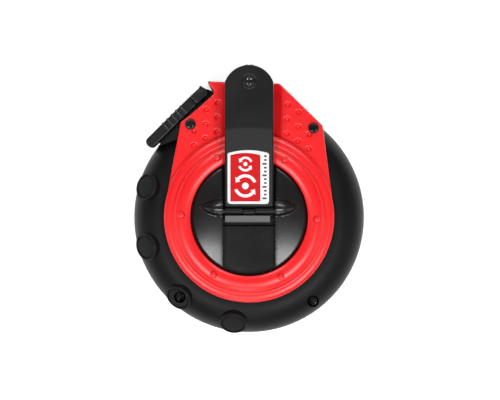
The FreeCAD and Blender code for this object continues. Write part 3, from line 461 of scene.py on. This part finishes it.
def makeFacePlate(look):
    ring = list(look["foot"])
    ring += arcBetween(look["wallTop"], look["bandStart"], 1.1, steps=6)
    ring += arcBetween(look["bandStart"], look["valley"], 5.2)[1:]
    ring += list(reversed(arcBetween(look["bulgeStart"], look["valley"], 3.2)))[1:-1]
    ring += arcBetween(look["bulgeStart"], look["bulgeEnd"], 7.5, steps=24)
    ring += [*look["lip"], (31.3, 44.3)]
    plate = turnedMesh(ring, segments=192)
    dome = turnedMesh(softened([
        (0, 52.4), (1.05, 52.2, 0.9), (1.75, 51.4, 0.8), (look["domeRadius"], 50.3, 0.3),
        (look["domeRadius"], 49.4), (0, 49.3),
    ], steps=4), segments=28, closed=False)
    for index in range(look["domes"]):
        angle = math.radians(360 / look["domes"] * index)
        spot = Vector((look["domeRing"] * math.cos(angle), look["domeRing"] * math.sin(angle), 0))
        addMesh(plate, dome.copy(), Matrix.Translation(spot))
    dome.free()

    right = softened(look["rightWing"], steps=7)
    left = softened(look["leftWing"], steps=7)
    bevel = look["bevelStart"]
    for outline, side in ((right, 1), (left, -1)):
        cups = []
        for x, y, rows in look["dimpleColumns"]:
            cups += [(side * x, y + row * look["dimpleStep"]) for row in range(rows)]

        def topAt(x, y, edge):
            z = np.full(len(x), look["top"])
            for cupX, cupY in cups:
                away = np.hypot(x - cupX, y - cupY)
                share = np.clip(1 - away / look["dimpleRadius"], 0, 1)
                z = z - look["dimpleDepth"] * smoothStep(share, 0, 0.6)
            # the channel's bevel along the throat
            slope = np.clip((bevel - np.abs(x)) / look["bevelWidth"], 0, 1)
            z = z - look["bevelDrop"] * slope
            return z - roundDrop(edge, look["edgeRound"]) * (1 - 0.75 * slope)

        rings = (0.35, 0.6, 0.85, 1.1, 1.35, 1.6)
        crease = [((side * bevel, 45.0), (side * bevel, 65.6 if side > 0 else 66.9))]
        wing = reliefMesh(outline, topAt, level(look["underside"]), spacing=0.9,
                          rims=(0.06, 0.2, 0.4, 0.65, 0.9, 1.2),
                          circles=[(x, y, rings) for x, y in cups], creases=crease)
        addMesh(plate, wing)
    return newPiece("facePlate", plate, sharpAngle=38)


finish(makeFacePlate(faceLook), "plate_red", "root", ["face_plate"])
print("face plate made")


# crank hub

hubLook = {
    "radius": 28.8,
    "crown": 51.0,
    "crownRadius": 133.5,
    "floor": 44.6,
    "slotHalf": 13.0,
    "edgeRound": 1.3,
    "wingHeight": 3.25,
    "wingReach": 11.8,
    "recess": 2.4,  # under the arm's heel, with its two walls
    "recessNear": (1.9, 2.1),
    "recessFar": (-4.5, -4.3),
    "underside": 41.2,
    "creaseReach": 25.4,
}


def makeCrankHub(look):
    def wingHump(x, y):
        # a steep wall over the hinge's pin, a ridge behind it and a long fall to the far edge
        across = np.clip((np.abs(x) - look["slotHalf"]) / look["wingReach"], 0, 1)
        near = y - (0.6 + 5.2 * across ** 2.8)
        far = (9.1 - 3.3 * across ** 1.7) - y
        rise = 0.8 * smoothStep(near, 0, 1.25) + 0.2 * smoothStep(near, 1.0, 3.6)
        fall = np.sqrt(np.maximum(1 - (1 - np.clip(far / 4.6, 0, 1)) ** 2, 0))
        return look["wingHeight"] * np.minimum(rise, fall) * (1 - across ** 3) ** 0.8

    def topAt(x, y, edge):
        away = np.hypot(x, y)
        crown = look["crown"] - look["crownRadius"] + np.sqrt(look["crownRadius"] ** 2 - away ** 2)
        crown = crown - roundDrop(edge, look["edgeRound"]) * 0.85
        z = crown + wingHump(x, y)
        drop = smoothStep(look["slotHalf"] - np.abs(x), -0.02, 0.1)
        lip = 0.25 * np.exp(-((np.abs(x) - look["slotHalf"]) / 0.35) ** 2) * (np.abs(x) > look["slotHalf"])
        recess = look["recess"] * smoothStep(-y, *look["recessNear"]) * smoothStep(y, *look["recessFar"])
        floorZ = look["floor"] - recess - roundDrop(edge, 0.4)
        return (z - lip) * (1 - drop) + floorZ * drop

    reach = look["creaseReach"]
    creases = []
    for x in (look["slotHalf"] + 0.5, look["slotHalf"] + 0.03, look["slotHalf"] - 0.1):
        for side in (1, -1):
            creases.append(((side * x, -reach), (side * x, reach)))
    for y in (-4.52, -4.28):
        creases.append(((-12.7, y), (12.7, y)))
    disc = reliefMesh(circle(look["radius"], 180), topAt, level(look["underside"]), spacing=0.42,
                      rims=(0.05, 0.2, 0.45, 0.8, 1.3, 1.9, 2.6), creases=creases)
    flange = turnedMesh(softened([(0, 40.5), (27.2, 40.5, 0.2), (27.2, 42.3, 0.1), (31.0, 42.3, 0.3),
                                  (31.0, 44.0, 0.3), (28.7, 44.0), (28.7, 41.25), (0, 41.25)]), closed=False)
    addMesh(disc, flange)
    return newPiece("crankHub", disc, crankMatrix, sharpAngle=40)


finish(makeCrankHub(hubLook), "hub_black", "crank", ["crank_hub"])
print("crank hub made")


# crank arm

armLook = {
    "halfWidth": 12.05,
    "tip": 75.45,
    "tipRadius": 12.7,
    "top": 58.3,
    "rootTop": 53.3,
    "rootY": 5.0,
    "bendY": 44.3,
    "edgeRound": 0.9,
    "sideDrop": 0.115,
    "underRoot": 48.9,
    "underTip": 54.7,
    "underBendY": 45.5,
    "rivetY": 67.05,
    # the hinge's barrels: (start x, end x, y, z, radius), the middle one a little lower
    "barrels": ((-11.9, -3.2, 3.15, 51.55, 1.75), (3.2, 11.9, 3.15, 51.55, 1.75),
                (-2.9, 2.9, 2.75, 51.2, 1.7)),
    "heelEndY": -2.6,
    "heelLow": 51.4,
    "heelSlope": 0.5,
}


def armTop(x, y, look):
    # the slope from the hinge and the flat end, blended where they meet
    climb = look["top"] - look["rootTop"]
    slope = look["rootTop"] + (y - look["rootY"]) * climb / (look["bendY"] - look["rootY"])
    flat = look["top"] - look["sideDrop"] * (x / look["halfWidth"]) ** 2
    blend = 0.035
    return (slope + flat - np.sqrt((slope - flat) ** 2 + blend ** 2)) / 2


def heelAt(look, lift, radius):
    # the heel's slope behind the hinge, lifted a little and rounded at its edge
    def height(x, y, edge):
        drop = roundDrop(edge, radius) if radius else 0
        return look["heelLow"] + lift + (y - look["heelEndY"]) * look["heelSlope"] - drop
    return height


def makeCrankArm(look):
    half = look["halfWidth"]
    rivetY = look["rivetY"]
    tipRadius = look["tipRadius"]
    centre = look["tip"] - tipRadius
    archY = centre + math.sqrt(tipRadius ** 2 - half ** 2)
    start = math.atan2(archY - centre, half)
    turns = [start + (math.pi - 2 * start) * step / 40 for step in range(41)]
    arc = [(tipRadius * math.cos(turn), centre + tipRadius * math.sin(turn)) for turn in turns]
    outline = [(half, look["rootY"]), *arc, (-half, look["rootY"])]

    def topAt(x, y, edge):
        # the rivet's seat is a shallow ring
        away = np.hypot(x, y - rivetY)
        seat = 0.16 * smoothStep(away, 4.1, 3.75) * (1 - smoothStep(away, 3.45, 3.2))
        endRound = roundDrop(y - look["rootY"], 0.5)
        side = roundDrop(np.minimum(half - np.abs(x), edge), look["edgeRound"])
        tipSide = roundDrop(edge, look["edgeRound"])
        rootSide = np.maximum(side, endRound * 0.5)
        return armTop(x, y, look) - np.where(y > look["rootY"] + 1.2, tipSide, rootSide) - seat

    def bottomAt(x, y, edge):
        way = np.clip((y - look["rootY"]) / (look["underBendY"] - look["rootY"]), 0, 1)
        base = look["underRoot"] + (look["underTip"] - look["underRoot"]) * way
        # a shallow hollow leaves a rim, a spine and the rivet's pad under the arm
        hollow = smoothStep(edge, 1.6, 2.4) * smoothStep(np.abs(x), 0.7, 1.3)
        hollow = hollow * smoothStep(np.hypot(x, y - rivetY), 6.5, 7.5)
        return base + hollow + roundDrop(edge, 0.4)

    arm = reliefMesh(outline, topAt, bottomAt, spacing=0.9, rims=(0.05, 0.18, 0.4, 0.65, 0.9, 1.3),
                     circles=[(0, rivetY, (3.1, 3.3, 3.5, 3.75, 4.0, 4.2))],
                     creases=[((-11.0, 44.35), (11.0, 44.35))])

    lying = Matrix.Rotation(math.radians(90), 4, "Y")
    for startX, endX, y, z, radius in look["barrels"]:
        length = endX - startX
        side = softened([(0, 0), (radius, 0, 0.25), (radius, length, 0.25), (0, length)], closed=False)
        barrel = turnedMesh(side, segments=40, closed=False)
        addMesh(arm, barrel, Matrix.Translation(Vector((startX, y, z))) @ lying)

    under = level(look["underRoot"])
    web = softened([(half - 0.1, 5.4), (half - 0.1, 2.0, 0.3), (-half + 0.1, 2.0, 0.3), (-half + 0.1, 5.4)])
    addMesh(arm, reliefMesh(web, rounded(50.6, 0.3), under, spacing=1.5, rims=(0.1, 0.3)))
    heelY = look["heelEndY"]
    heel = softened([(10.6, 0.95, 0.15), (10.6, heelY, 0.3), (-half, heelY, 0.3), (-half, 0.95, 0.15)])
    addMesh(arm, reliefMesh(heel, heelAt(look, 0, 0.2), under, spacing=0.9, rims=(0.05, 0.15, 0.3)))
    return newPiece("crankArm", arm, crankMatrix, sharpAngle=38)


def makeHeelFace(look):
    # the heel's slope, painted lighter grey as a highlight
    loop = softened([(10.4, 0.8, 0.15), (10.4, -2.45, 0.25), (-11.85, -2.45, 0.25), (-11.85, 0.8, 0.15)])
    face = reliefMesh(loop, heelAt(look, 0.03, 0.05), heelAt(look, -0.2, 0), spacing=1.2, rims=(0.05,))
    return newPiece("heelFace", face, crankMatrix)


finish(makeCrankArm(armLook), "arm_black", "arm", ["crank_arm"])
# the heel's slope gets a lighter grey paint, a painted highlight
finish(makeHeelFace(armLook), "arm_black", "arm", paint="heel_painted_highlight")
print("crank arm made")


# label on the arm: plain panels and rotation arrows

labelLook = {
    "left": -10.65,
    "right": 9.85,
    "low": 6.65,
    "high": 33.3,
    "crown": 1.6,
    "corner": 1.5,
    "fieldLeft": -9.3,
    "fieldRight": 5.6,
    "fieldLow": 7.85,
    "fieldHigh": 31.9,
    "arrows": ((-1.85, 26.4, 3.1, 1.15), (-1.85, 15.6, 5.0, 1.5)),  # x, y, radius, width
    "arrowSweep": 118,
    "dotShare": 0.33,
    "bars": 12,
    "barStart": 9.4,
    "barPitch": 1.9,
    "barRight": 8.7,
    "barHalf": 0.42,
    "barLong": 2.1,
    "barShort": 1.3,
}


def archedLoop(left, right, low, high, crown, corner):
    points = [(left, low, corner), (right, low, corner), (right, high - crown, corner * 0.6)]
    for step in range(1, 12):
        share = step / 12
        points.append((right + (left - right) * share, high - crown + crown * 4 * share * (1 - share) * 0.98))
    points.append((left, high - crown, corner * 0.6))
    return softened(points, steps=5)


def onSlope(lift):
    def height(x, y, edge):
        return armTop(x, y, armLook) + lift - roundDrop(edge, 0.03)
    return height


def labelLayer(name, loop, lift, paint, spacing=1.6):
    mesh = reliefMesh(loop, onSlope(lift), onSlope(lift - 0.06), spacing=spacing, rims=(0.04,))
    return finish(newPiece(name, mesh, crankMatrix, sharpAngle=50), "label_print", "arm", paint=paint)


def arrowLoop(x, y, radius, width, start, sweep):
    # an arc with an arrow head at its far end
    def at(reach, angle):
        return (x + reach * math.cos(angle), y + reach * math.sin(angle))

    turns = [math.radians(start + sweep * step / 24) for step in range(25)]
    end = math.radians(start + sweep)
    tip = math.radians(start + sweep + math.degrees(width * 1.35 / radius))
    head = [at(radius + width * 1.15, end), at(radius, tip), at(radius - width * 1.15, end)]
    outer = [at(radius + width / 2, turn) for turn in turns]
    inner = [at(radius - width / 2, turn) for turn in reversed(turns)]
    return outer + head + inner


def makeLabel(look):
    outer = archedLoop(look["left"], look["right"], look["low"], look["high"], look["crown"], look["corner"])
    card = labelLayer("labelCard", outer, 0.12, "label_print")
    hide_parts("arm_label")
    field = archedLoop(look["fieldLeft"], look["fieldRight"], look["fieldLow"], look["fieldHigh"], 1.1, 0.5)
    labelLayer("labelField", field, 0.15, "label_red")
    for index, (x, y, radius, width) in enumerate(look["arrows"]):
        for part, start in enumerate((20, 200)):
            loop = arrowLoop(x, y, radius, width, start, look["arrowSweep"])
            labelLayer(f"labelArrow{index}{part}", loop, 0.18, "label_print", spacing=0.6)
        dot = circle(radius * look["dotShare"], 24, x, y)
        labelLayer(f"labelDot{index}", dot, 0.18, "label_print", spacing=0.6)
    # the strip beside the field: bars of two lengths, as on a scale
    right, half = look["barRight"], look["barHalf"]
    for index in range(look["bars"]):
        y = look["barStart"] + index * look["barPitch"]
        left = right - (look["barLong"] if index % 3 == 0 else look["barShort"])
        bar = [(left, y - half), (right, y - half), (right, y + half), (left, y + half)]
        labelLayer(f"labelBar{index}", bar, 0.2, "label_ink", spacing=0.5)


makeLabel(labelLook)
print("label made")


# rivet and knob

knobLook = {"flutes": 18, "fluteDepth": 0.45, "fluteLow": 46.6, "fluteHigh": 54.0, "fluteInner": 7.2}
knobPlace = crankMatrix @ Matrix.Translation(Vector((0, armLook["rivetY"], 0)))


def makeRivet():
    profile = softened([(0, 59.5), (1.2, 59.42, 1.0), (2.3, 59.0, 1.0), (2.95, 58.35, 0.4), (3.05, 57.9),
                        (2.0, 57.9), (2.0, 47.7), (3.3, 47.7, 0.2), (3.3, 46.5, 0.3), (0, 46.5)], steps=5)
    return newPiece("knobRivet", turnedMesh(profile, segments=64, closed=False), knobPlace)


def makeKnob(look):
    profile = softened([(2.1, 54.4), (6.2, 54.4, 0.3), (7.4, 54.1, 0.8), (8.0, 52.4, 0.8),
                        (8.5, 50.0, 1.5), (9.0, 48.2, 1.2), (8.4, 46.6, 0.8), (7.0, 46.2, 0.6),
                        (3.6, 46.2, 0.2), (3.6, 48.0), (2.1, 48.0)], steps=5)
    mesh = turnedMesh(profile, segments=216)
    for vert in mesh.verts:
        away = math.hypot(vert.co.x, vert.co.y)
        if away < look["fluteInner"]:
            continue
        angle = math.atan2(vert.co.y, vert.co.x)
        wave = 1 - abs(math.cos(angle * look["flutes"] / 2)) ** 0.7
        # the flutes fade out over a millimetre at both ends
        grip = min(max(vert.co.z - look["fluteLow"], 0), 1) * min(max(look["fluteHigh"] - vert.co.z, 0), 1)
        factor = 1 - look["fluteDepth"] * wave * grip / away
        vert.co.x *= factor
        vert.co.y *= factor
    return newPiece("gripKnob", mesh, knobPlace, sharpAngle=50)


finish(makeRivet(), "rivet_black", "arm", ["knob_rivet"])
finish(makeKnob(knobLook), "arm_black", "grip_knob", ["knob"])
print("knob made")


# grip pads

padLook = {
    "ring": 53.7,
    "height": 38.3,
    "start": 165.2,
    "pitch": 32.7,
    "radius": 6.95,
    "count": 4,
    "boredPad": 2,  # the pad over the left case screw
    "boreRadius": 2.95,
}
caseScrewSpots = ((33.25, -40.9), (-33.25, -40.9))


def makePad(index, look):
    angle = math.radians(look["start"] + look["pitch"] * index)
    reach = look["radius"]
    profile = softened([(0, -0.02), (2.5, -0.03), (reach - 1.9, -0.12, 0.6), (reach - 1.55, -0.55, 0.15),
                        (reach - 1.3, -0.55, 0.15), (reach - 1.0, -0.02, 0.2), (reach - 0.35, -0.02, 0.3),
                        (reach, -0.5, 0.3), (reach, -1.9), (0, -1.9)], steps=4)
    mesh = turnedMesh(profile, segments=96, closed=False)
    spot = Vector((look["ring"] * math.cos(angle), look["ring"] * math.sin(angle), look["height"]))
    tilt = Matrix.Rotation(math.radians(45), 4, "Y")
    place = Matrix.Translation(spot) @ Matrix.Rotation(angle, 4, "Z") @ tilt
    return newPiece(f"gripPad{index + 1}", mesh, place)


def cutRound(obj, x, y, radius, low, high):
    # bore a piece straight down with a boolean, then apply it
    drill = turnedMesh([(0, low), (radius, low), (radius, high), (0, high)], segments=64, closed=False)
    tool = newPiece("boreTool", drill, Matrix.Translation(Vector((x, y, 0))))
    bore = obj.modifiers.new("bore", "BOOLEAN")
    bore.operation = "DIFFERENCE"
    bore.solver = "EXACT"
    bore.object = tool
    depsgraph = bpy.context.evaluated_depsgraph_get()
    cut = bpy.data.meshes.new_from_object(obj.evaluated_get(depsgraph))
    obj.modifiers.clear()
    obj.data = cut
    bpy.data.objects.remove(tool)
    return shade(obj)


for padIndex in range(padLook["count"]):
    pad = makePad(padIndex, padLook)
    if padIndex == padLook["boredPad"]:
        pad = cutRound(pad, *caseScrewSpots[1], padLook["boreRadius"], 30.0, 60.0)
    finish(pad, "pad_rubber", "root", [f"grip_pad_{padIndex + 1}"])
print("grip pads made")


# screws with cross recesses

screwLook = {
    "headRadius": 2.65,
    "headHeight": 1.9,
    "shank": 1.5,
    "thread": 0.9,
    "threadDepth": 0.22,
    "plain": 3,  # length of shank above the thread
    "turn": 0.35,
}


def makeScrew(x, y, seat, length, look):
    head = look["headHeight"]
    outline = circle(look["headRadius"], 64)

    def topAt(px, py, edge):
        away = np.hypot(px, py)
        z = seat + head - 0.42 * (away / look["headRadius"]) ** 2 - roundDrop(edge, 0.75)
        arm = np.minimum(np.maximum(np.abs(px), np.abs(py) * 3.2), np.maximum(np.abs(py), np.abs(px) * 3.2))
        return z - 1.15 * smoothStep(1.75 - arm, 0, 0.75)

    mesh = reliefMesh(outline, topAt, level(seat), spacing=0.16, rims=(0.03, 0.1, 0.22, 0.4, 0.6))
    # a threaded shank: rings of turns down its length
    profile = [(0, seat + 0.1), (look["shank"], seat + 0.1), (look["shank"], seat - look["plain"])]
    turns = int((length - 4) / look["thread"])
    for turn in range(turns):
        z = seat - look["plain"] - turn * look["thread"]
        profile += [(look["shank"] - look["threadDepth"], z - look["thread"] * 0.3),
                    (look["shank"] - look["threadDepth"], z - look["thread"] * 0.6),
                    (look["shank"], z - look["thread"] * 0.95)]
    profile += [(0.5, seat - length), (0, seat - length)]
    addMesh(mesh, turnedMesh(profile, segments=32, closed=False))
    return mesh, Matrix.Translation(Vector((x, y, 0))) @ Matrix.Rotation(look["turn"], 4, "Z")


for name, places, seat, length, node in (
    ("plateScrews", ((30.65, 45.3), (-30.65, 45.3)), 44.5, 34, "plate_screws"),
    ("caseScrews", caseScrewSpots, 31.0, 22, "case_screws"),
):
    both = bmesh.new()
    for x, y in places:
        mesh, place = makeScrew(x, y, seat, length, screwLook)
        addMesh(both, mesh, place)
    finish(newPiece(name, both, sharpAngle=45), "screw_black", "root", [node])
print("screws made")


# filler hatch, drawn along its seat and out from it

hatchLook = {
    "slope": 46.3,
    "hinge": 26.3,
    "hingeOut": 60.9,
    "thickness": 5.4,
    "end": -11.0,
    "low": 12.0,
    "high": 40.0,
    "ribs": (12.0, 15.05, 18.1, 21.15, 24.2),  # from the hinge
    "padHalf": 1.85,
    "earLow": 16.0,
    "earHigh": 36.0,
}
seatTurn = Matrix.Rotation(math.radians(hatchLook["slope"]), 4, "Z")


def makeHatch(look):
    middle = look["hingeOut"]
    half = look["thickness"] / 2
    hinge = look["hinge"]
    lever = [(hinge - 4.0, middle - half, 0.3)]
    lever += [(look["end"], middle - half, 2.4), (look["end"], middle + half, 2.4)]
    for rib in reversed(look["ribs"]):
        at = hinge - rib
        lever += [(at - 0.45, middle + half, 0.2), (at - 0.25, middle + half + 0.38, 0.15),
                  (at + 0.25, middle + half + 0.38, 0.15), (at + 0.45, middle + half, 0.2)]
    lever += [(hinge - 4.0, middle + half, 0.3)]
    knuckle = [(hinge - 5.2, middle - half, 0.5), (hinge + 1.9, middle - half, 0.8), (29.3, 59.0, 0.8),
               (29.45, 60.6, 0.8), (28.6, 64.0, 0.4), (27.1, 63.4, 0.9), (hinge - 5.2, middle + half, 0.5)]

    def faceLines(x, y, edge):
        # ridges that cross the lever's side, a step before the knuckle and a faint line along its middle
        z = np.zeros(len(x))
        for rib in look["ribs"]:
            z = z + 0.28 * np.exp(-((x - (hinge - rib)) / 0.2) ** 2)
        z = z - 0.12 * np.exp(-((y - middle) / 0.14) ** 2) * smoothStep(hinge - 25.5 - x, 0, 1)
        z = z - 0.5 * smoothStep(x, hinge - 6.1, hinge - 5.7)
        return z

    def leverTop(x, y, edge):
        return look["high"] - 0.3 + faceLines(x, y, edge) - roundDrop(edge, 0.7)

    def leverBottom(x, y, edge):
        return look["low"] + 0.3 - faceLines(x, y, edge) + roundDrop(edge, 0.7)

    creases = []
    for rib in look["ribs"]:
        for shift in (-0.22, 0, 0.22):
            x = hinge - rib + shift
            creases.append(((x, middle - half + 0.15), (x, middle + half - 0.15)))
    body = reliefMesh(softened(lever, steps=4), leverTop, leverBottom, spacing=0.55,
                      rims=(0.04, 0.14, 0.3, 0.5, 0.7), creases=creases)

    padCentre = hinge - 0.4

    def knuckleRise(x, y, edge):
        # a raised pad, round at the hinge and square at its other end
        fromPad = np.where(x > padCentre, np.hypot(x - padCentre, y - middle) - look["padHalf"],
                           np.maximum(np.abs(y - middle) - look["padHalf"], padCentre - 3.6 - x))
        ridge = 0.22 * np.exp(-(fromPad / 0.2) ** 2)
        bars = 0.3 * np.exp(-((x - (hinge - 4.75)) / 0.16) ** 2)
        return ridge + bars

    def earTop(x, y, edge):
        return look["high"] + 0.06 + knuckleRise(x, y, edge) - roundDrop(edge, 0.5)

    def earBottom(x, y, edge):
        return look["low"] - 0.06 - knuckleRise(x, y, edge) + roundDrop(edge, 0.5)

    lowEar = (rounded(look["earLow"], 0.3), earBottom)
    highEar = (earTop, rounded(look["earHigh"], 0.3, -1))
    for top, bottom in (lowEar, highEar):
        addMesh(body, reliefMesh(softened(knuckle, steps=5), top, bottom, spacing=0.35,
                                 rims=(0.04, 0.14, 0.3, 0.5)))
    return newPiece("fillerHatch", body, seatTurn, sharpAngle=36)


def makeCrests(look):
    # crests of the ridges, of the lever's inner edge and of the step before the knuckle, painted lighter as
    # highlights
    crests = bmesh.new()
    hinge = look["hinge"]
    low = look["hingeOut"] - look["thickness"] / 2
    high = look["hingeOut"] + look["thickness"] / 2
    strips = [(hinge - rib - 0.1, low + 0.5, hinge - rib + 0.1, high - 0.3, 0.02) for rib in look["ribs"]]
    strips.append((look["end"] + 3.0, low + 0.62, hinge - 6.4, low + 0.76, -0.24))
    strips.append((hinge - 4.85, low + 0.5, hinge - 4.65, high - 0.5, 0.4))
    for left, near, right, far, lift in strips:
        loop = [(left, near), (right, near), (right, far), (left, far)]
        top = look["high"] + lift
        addMesh(crests, reliefMesh(loop, rounded(top, 0.05), level(top - 0.3), spacing=0.8, rims=(0.04,)))
    return newPiece("hatchCrests", crests, seatTurn)


def makeSeatLip():
    # the rounded lip of the case's seat under the closed hatch
    loop = softened([(-6.0, 56.7), (23.2, 56.7), (23.2, 58.05, 0.6), (-6.0, 58.05, 0.6)], steps=5)
    lip = reliefMesh(loop, rounded(39.3, 0.6), level(36.8), spacing=0.7, rims=(0.05, 0.15, 0.3, 0.6))
    return newPiece("seatLip", lip, seatTurn)


finish(makeHatch(hatchLook), "hatch_black", "hatch", ["filler_hatch"])
# the crests get a lighter paint, a painted highlight
finish(makeCrests(hatchLook), "hatch_black", "hatch", paint="hatch_crest_painted_highlight")
finish(makeSeatLip(), "case_black", "root")
print("filler hatch made")


# soft pieces inside: the wound line, the felt wiper, the seal and the gasket

woundLook = {"inner": 14.1, "outer": 37.95, "low": 5.45, "high": 24.55, "line": 0.95}


def makeWinding(look):
    # the line's turns stand out as ridges on the outer layer and on both ends
    profile = []
    turns = int((look["high"] - look["low"]) / look["line"])
    for turn in range(turns):
        z = look["low"] + turn * look["line"]
        for step in range(6):
            bulge = math.sin(math.pi * (step + 0.5) / 6)
            profile.append((look["outer"] - look["line"] * 0.42 * (1 - bulge), z + look["line"] * step / 6))
    layers = int((look["outer"] - look["inner"]) / look["line"])
    for layer in range(layers):
        r = look["outer"] - layer * look["line"]
        profile += [(r - look["line"] * 0.2, look["high"] - 0.05), (r - look["line"] * 0.5, look["high"]),
                    (r - look["line"] * 0.9, look["high"] - 0.3)]
    profile += [(look["inner"], look["high"] - 0.3), (look["inner"], look["low"] + 0.1)]
    mesh = turnedMesh(profile, segments=120)
    for vert in mesh.verts:
        angle = math.atan2(vert.co.y, vert.co.x)
        if math.hypot(vert.co.x, vert.co.y) > 30:
            # each turn climbs by one line's width on its way round, and lies a little unevenly
            rise = look["line"] * (angle / (2 * math.pi))
            z = vert.co.z + rise + 0.06 * math.sin(angle * 7 + vert.co.z * 2)
            vert.co.z = min(max(z, look["low"]), look["high"])
    return newPiece("woundLine", mesh, sharpAngle=60)


def makeFeltRing(name, inner, outer, low, high, place=None):
    corners = [(inner, low, 0.2), (outer, low, 0.25), (outer, high, 0.25), (inner, high, 0.2)]
    mesh = turnedMesh(softened(corners, steps=4), segments=96)
    for index, vert in enumerate(mesh.verts):
        vert.co.z += 0.04 * math.sin(index * 2.399) * math.cos(index * 0.713)  # uneven felt
    return newPiece(name, mesh, place, sharpAngle=50)


finish(makeWinding(woundLook), "line_cotton", "spool_body", ["line_winding"])
mouthPlace = Matrix.Translation(Vector((0, 0, 22))) @ Matrix.Rotation(math.radians(-90), 4, "X")
finish(makeFeltRing("feltWiper", 0.9, 2.95, 52.55, 57.4, mouthPlace), "felt", "root", ["felt_wiper"])
finish(makeFeltRing("gearSeal", 5.85, 25.9, 26.75, 28.45), "felt", "root", ["gear_seal"])
gasketLoop = softened([(14.0, 57.15, 0.2), (22.8, 57.15, 0.2), (22.8, 58.2, 0.4), (14.0, 58.2, 0.4)], steps=3)
gasket = reliefMesh(gasketLoop, rounded(36.2, 0.3), rounded(15.8, 0.3, -1), spacing=0.5,
                    rims=(0.05, 0.15, 0.3))
finish(newPiece("hatchGasket", gasket, seatTurn), "pad_rubber", "hatch", ["hatch_gasket"])
print("soft pieces made")


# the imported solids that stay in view

carried = {
    "rear_case": "case_black", "front_case": "case_black", "hinge_pin": "screw_black", "hatch_pin": "steel",
    "axle": "steel", "spool": "spool_grey", "sun_gear": "gear_white", "planet_gear_1": "gear_white",
    "planet_gear_2": "gear_white", "planet_gear_3": "gear_white", "ring_gear": "gear_white",
    "carrier_plate": "spool_grey", "planet_pins": "steel", "carrier_screws": "steel",
    "mouth_ferrule": "brass",
}
for nodeName, slotName in carried.items():
    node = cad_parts[nodeName]
    node.data.materials.clear()
    node.data.materials.append(paints[slotName])
    shade(node, 30)
print("solids dressed")


# floor, light and camera

studio = {
    "floorSize": 6.0,
    "cameraHeight": 2.5,
    "cameraLens": 360,
    "cameraAim": (0.00045, 0.0086, 0.03),
    "floorGlow": 0.6,
    "worldStrength": 0.1,
    "lights": (
        # name, tilt from straight above, direction round the object, distance, width, power
        ("softLowerRight", 27, -52, 1.3, 0.4, 6.6),
        ("softLowerLeft", 27, -130, 1.3, 0.36, 5.4),
        ("smallTopLeft", 42, 118, 1.2, 0.16, 2.2),
        ("smallTopRight", 42, 62, 1.2, 0.16, 2.2),
        ("wideLeft", 64, -165, 1.6, 1.1, 2.6),
        ("wideRight", 64, -15, 1.6, 1.1, 2.6),
        ("wideTop", 66, 90, 1.6, 1.2, 3.6),
        ("softBottom", 54, -92, 1.5, 0.5, 3.0),
    ),
}


def makeStudio(look):
    bm = bmesh.new()
    bmesh.ops.create_grid(bm, x_segments=4, y_segments=4, size=look["floorSize"] / 2 / millimetre)
    floor = newPiece("floor", bm, Matrix.Translation(Vector((0, 0, -0.05))))
    paint = bpy.data.materials.new("paleFloor")
    paint.use_nodes = True
    shader = paint.node_tree.nodes["Principled BSDF"]
    shader.inputs["Base Color"].default_value = (0.85, 0.85, 0.85, 1)
    shader.inputs["Roughness"].default_value = 0.9
    shader.inputs["Specular IOR Level"].default_value = 0.1
    shader.inputs["Emission Color"].default_value = (1, 1, 1, 1)
    shader.inputs["Emission Strength"].default_value = look["floorGlow"]
    floor.data.materials.append(paint)

    world = bpy.data.worlds.new("studio")
    world.use_nodes = True
    world.node_tree.nodes["Background"].inputs["Color"].default_value = (1, 1, 1, 1)
    world.node_tree.nodes["Background"].inputs["Strength"].default_value = look["worldStrength"]
    bpy.context.scene.world = world

    aim = Vector((0, 0, 0.03))
    for name, tilt, turn, distance, width, power in look["lights"]:
        data = bpy.data.lights.new(name, "AREA")
        data.shape = "DISK"
        data.size = width
        data.energy = power
        light = bpy.data.objects.new(name, data)
        bpy.context.scene.collection.objects.link(light)
        tiltAngle, turnAngle = math.radians(tilt), math.radians(turn)
        flat = math.sin(tiltAngle)
        way = Vector((flat * math.cos(turnAngle), flat * math.sin(turnAngle), math.cos(tiltAngle)))
        light.location = aim + way * distance
        light.rotation_mode = "QUATERNION"
        light.rotation_quaternion = (-way).to_track_quat("-Z", "Y")


def makeCamera(look):
    # straight above, turned so that the crank arm stands upright in the picture
    data = bpy.data.cameras.new("camera")
    data.sensor_width = 36
    data.lens = look["cameraLens"]
    camera = bpy.data.objects.new("camera", data)
    bpy.context.scene.collection.objects.link(camera)
    aim = crankMatrix @ Vector(look["cameraAim"])
    camera.location = aim + Vector((0, 0, look["cameraHeight"]))
    camera.rotation_euler = (0, 0, crankTurn)
    data.clip_start = 0.05
    data.clip_end = 20
    bpy.context.scene.camera = camera


makeStudio(studio)
makeCamera(studio)
bpy.context.scene.view_settings.view_transform = "Standard"
print("studio ready")
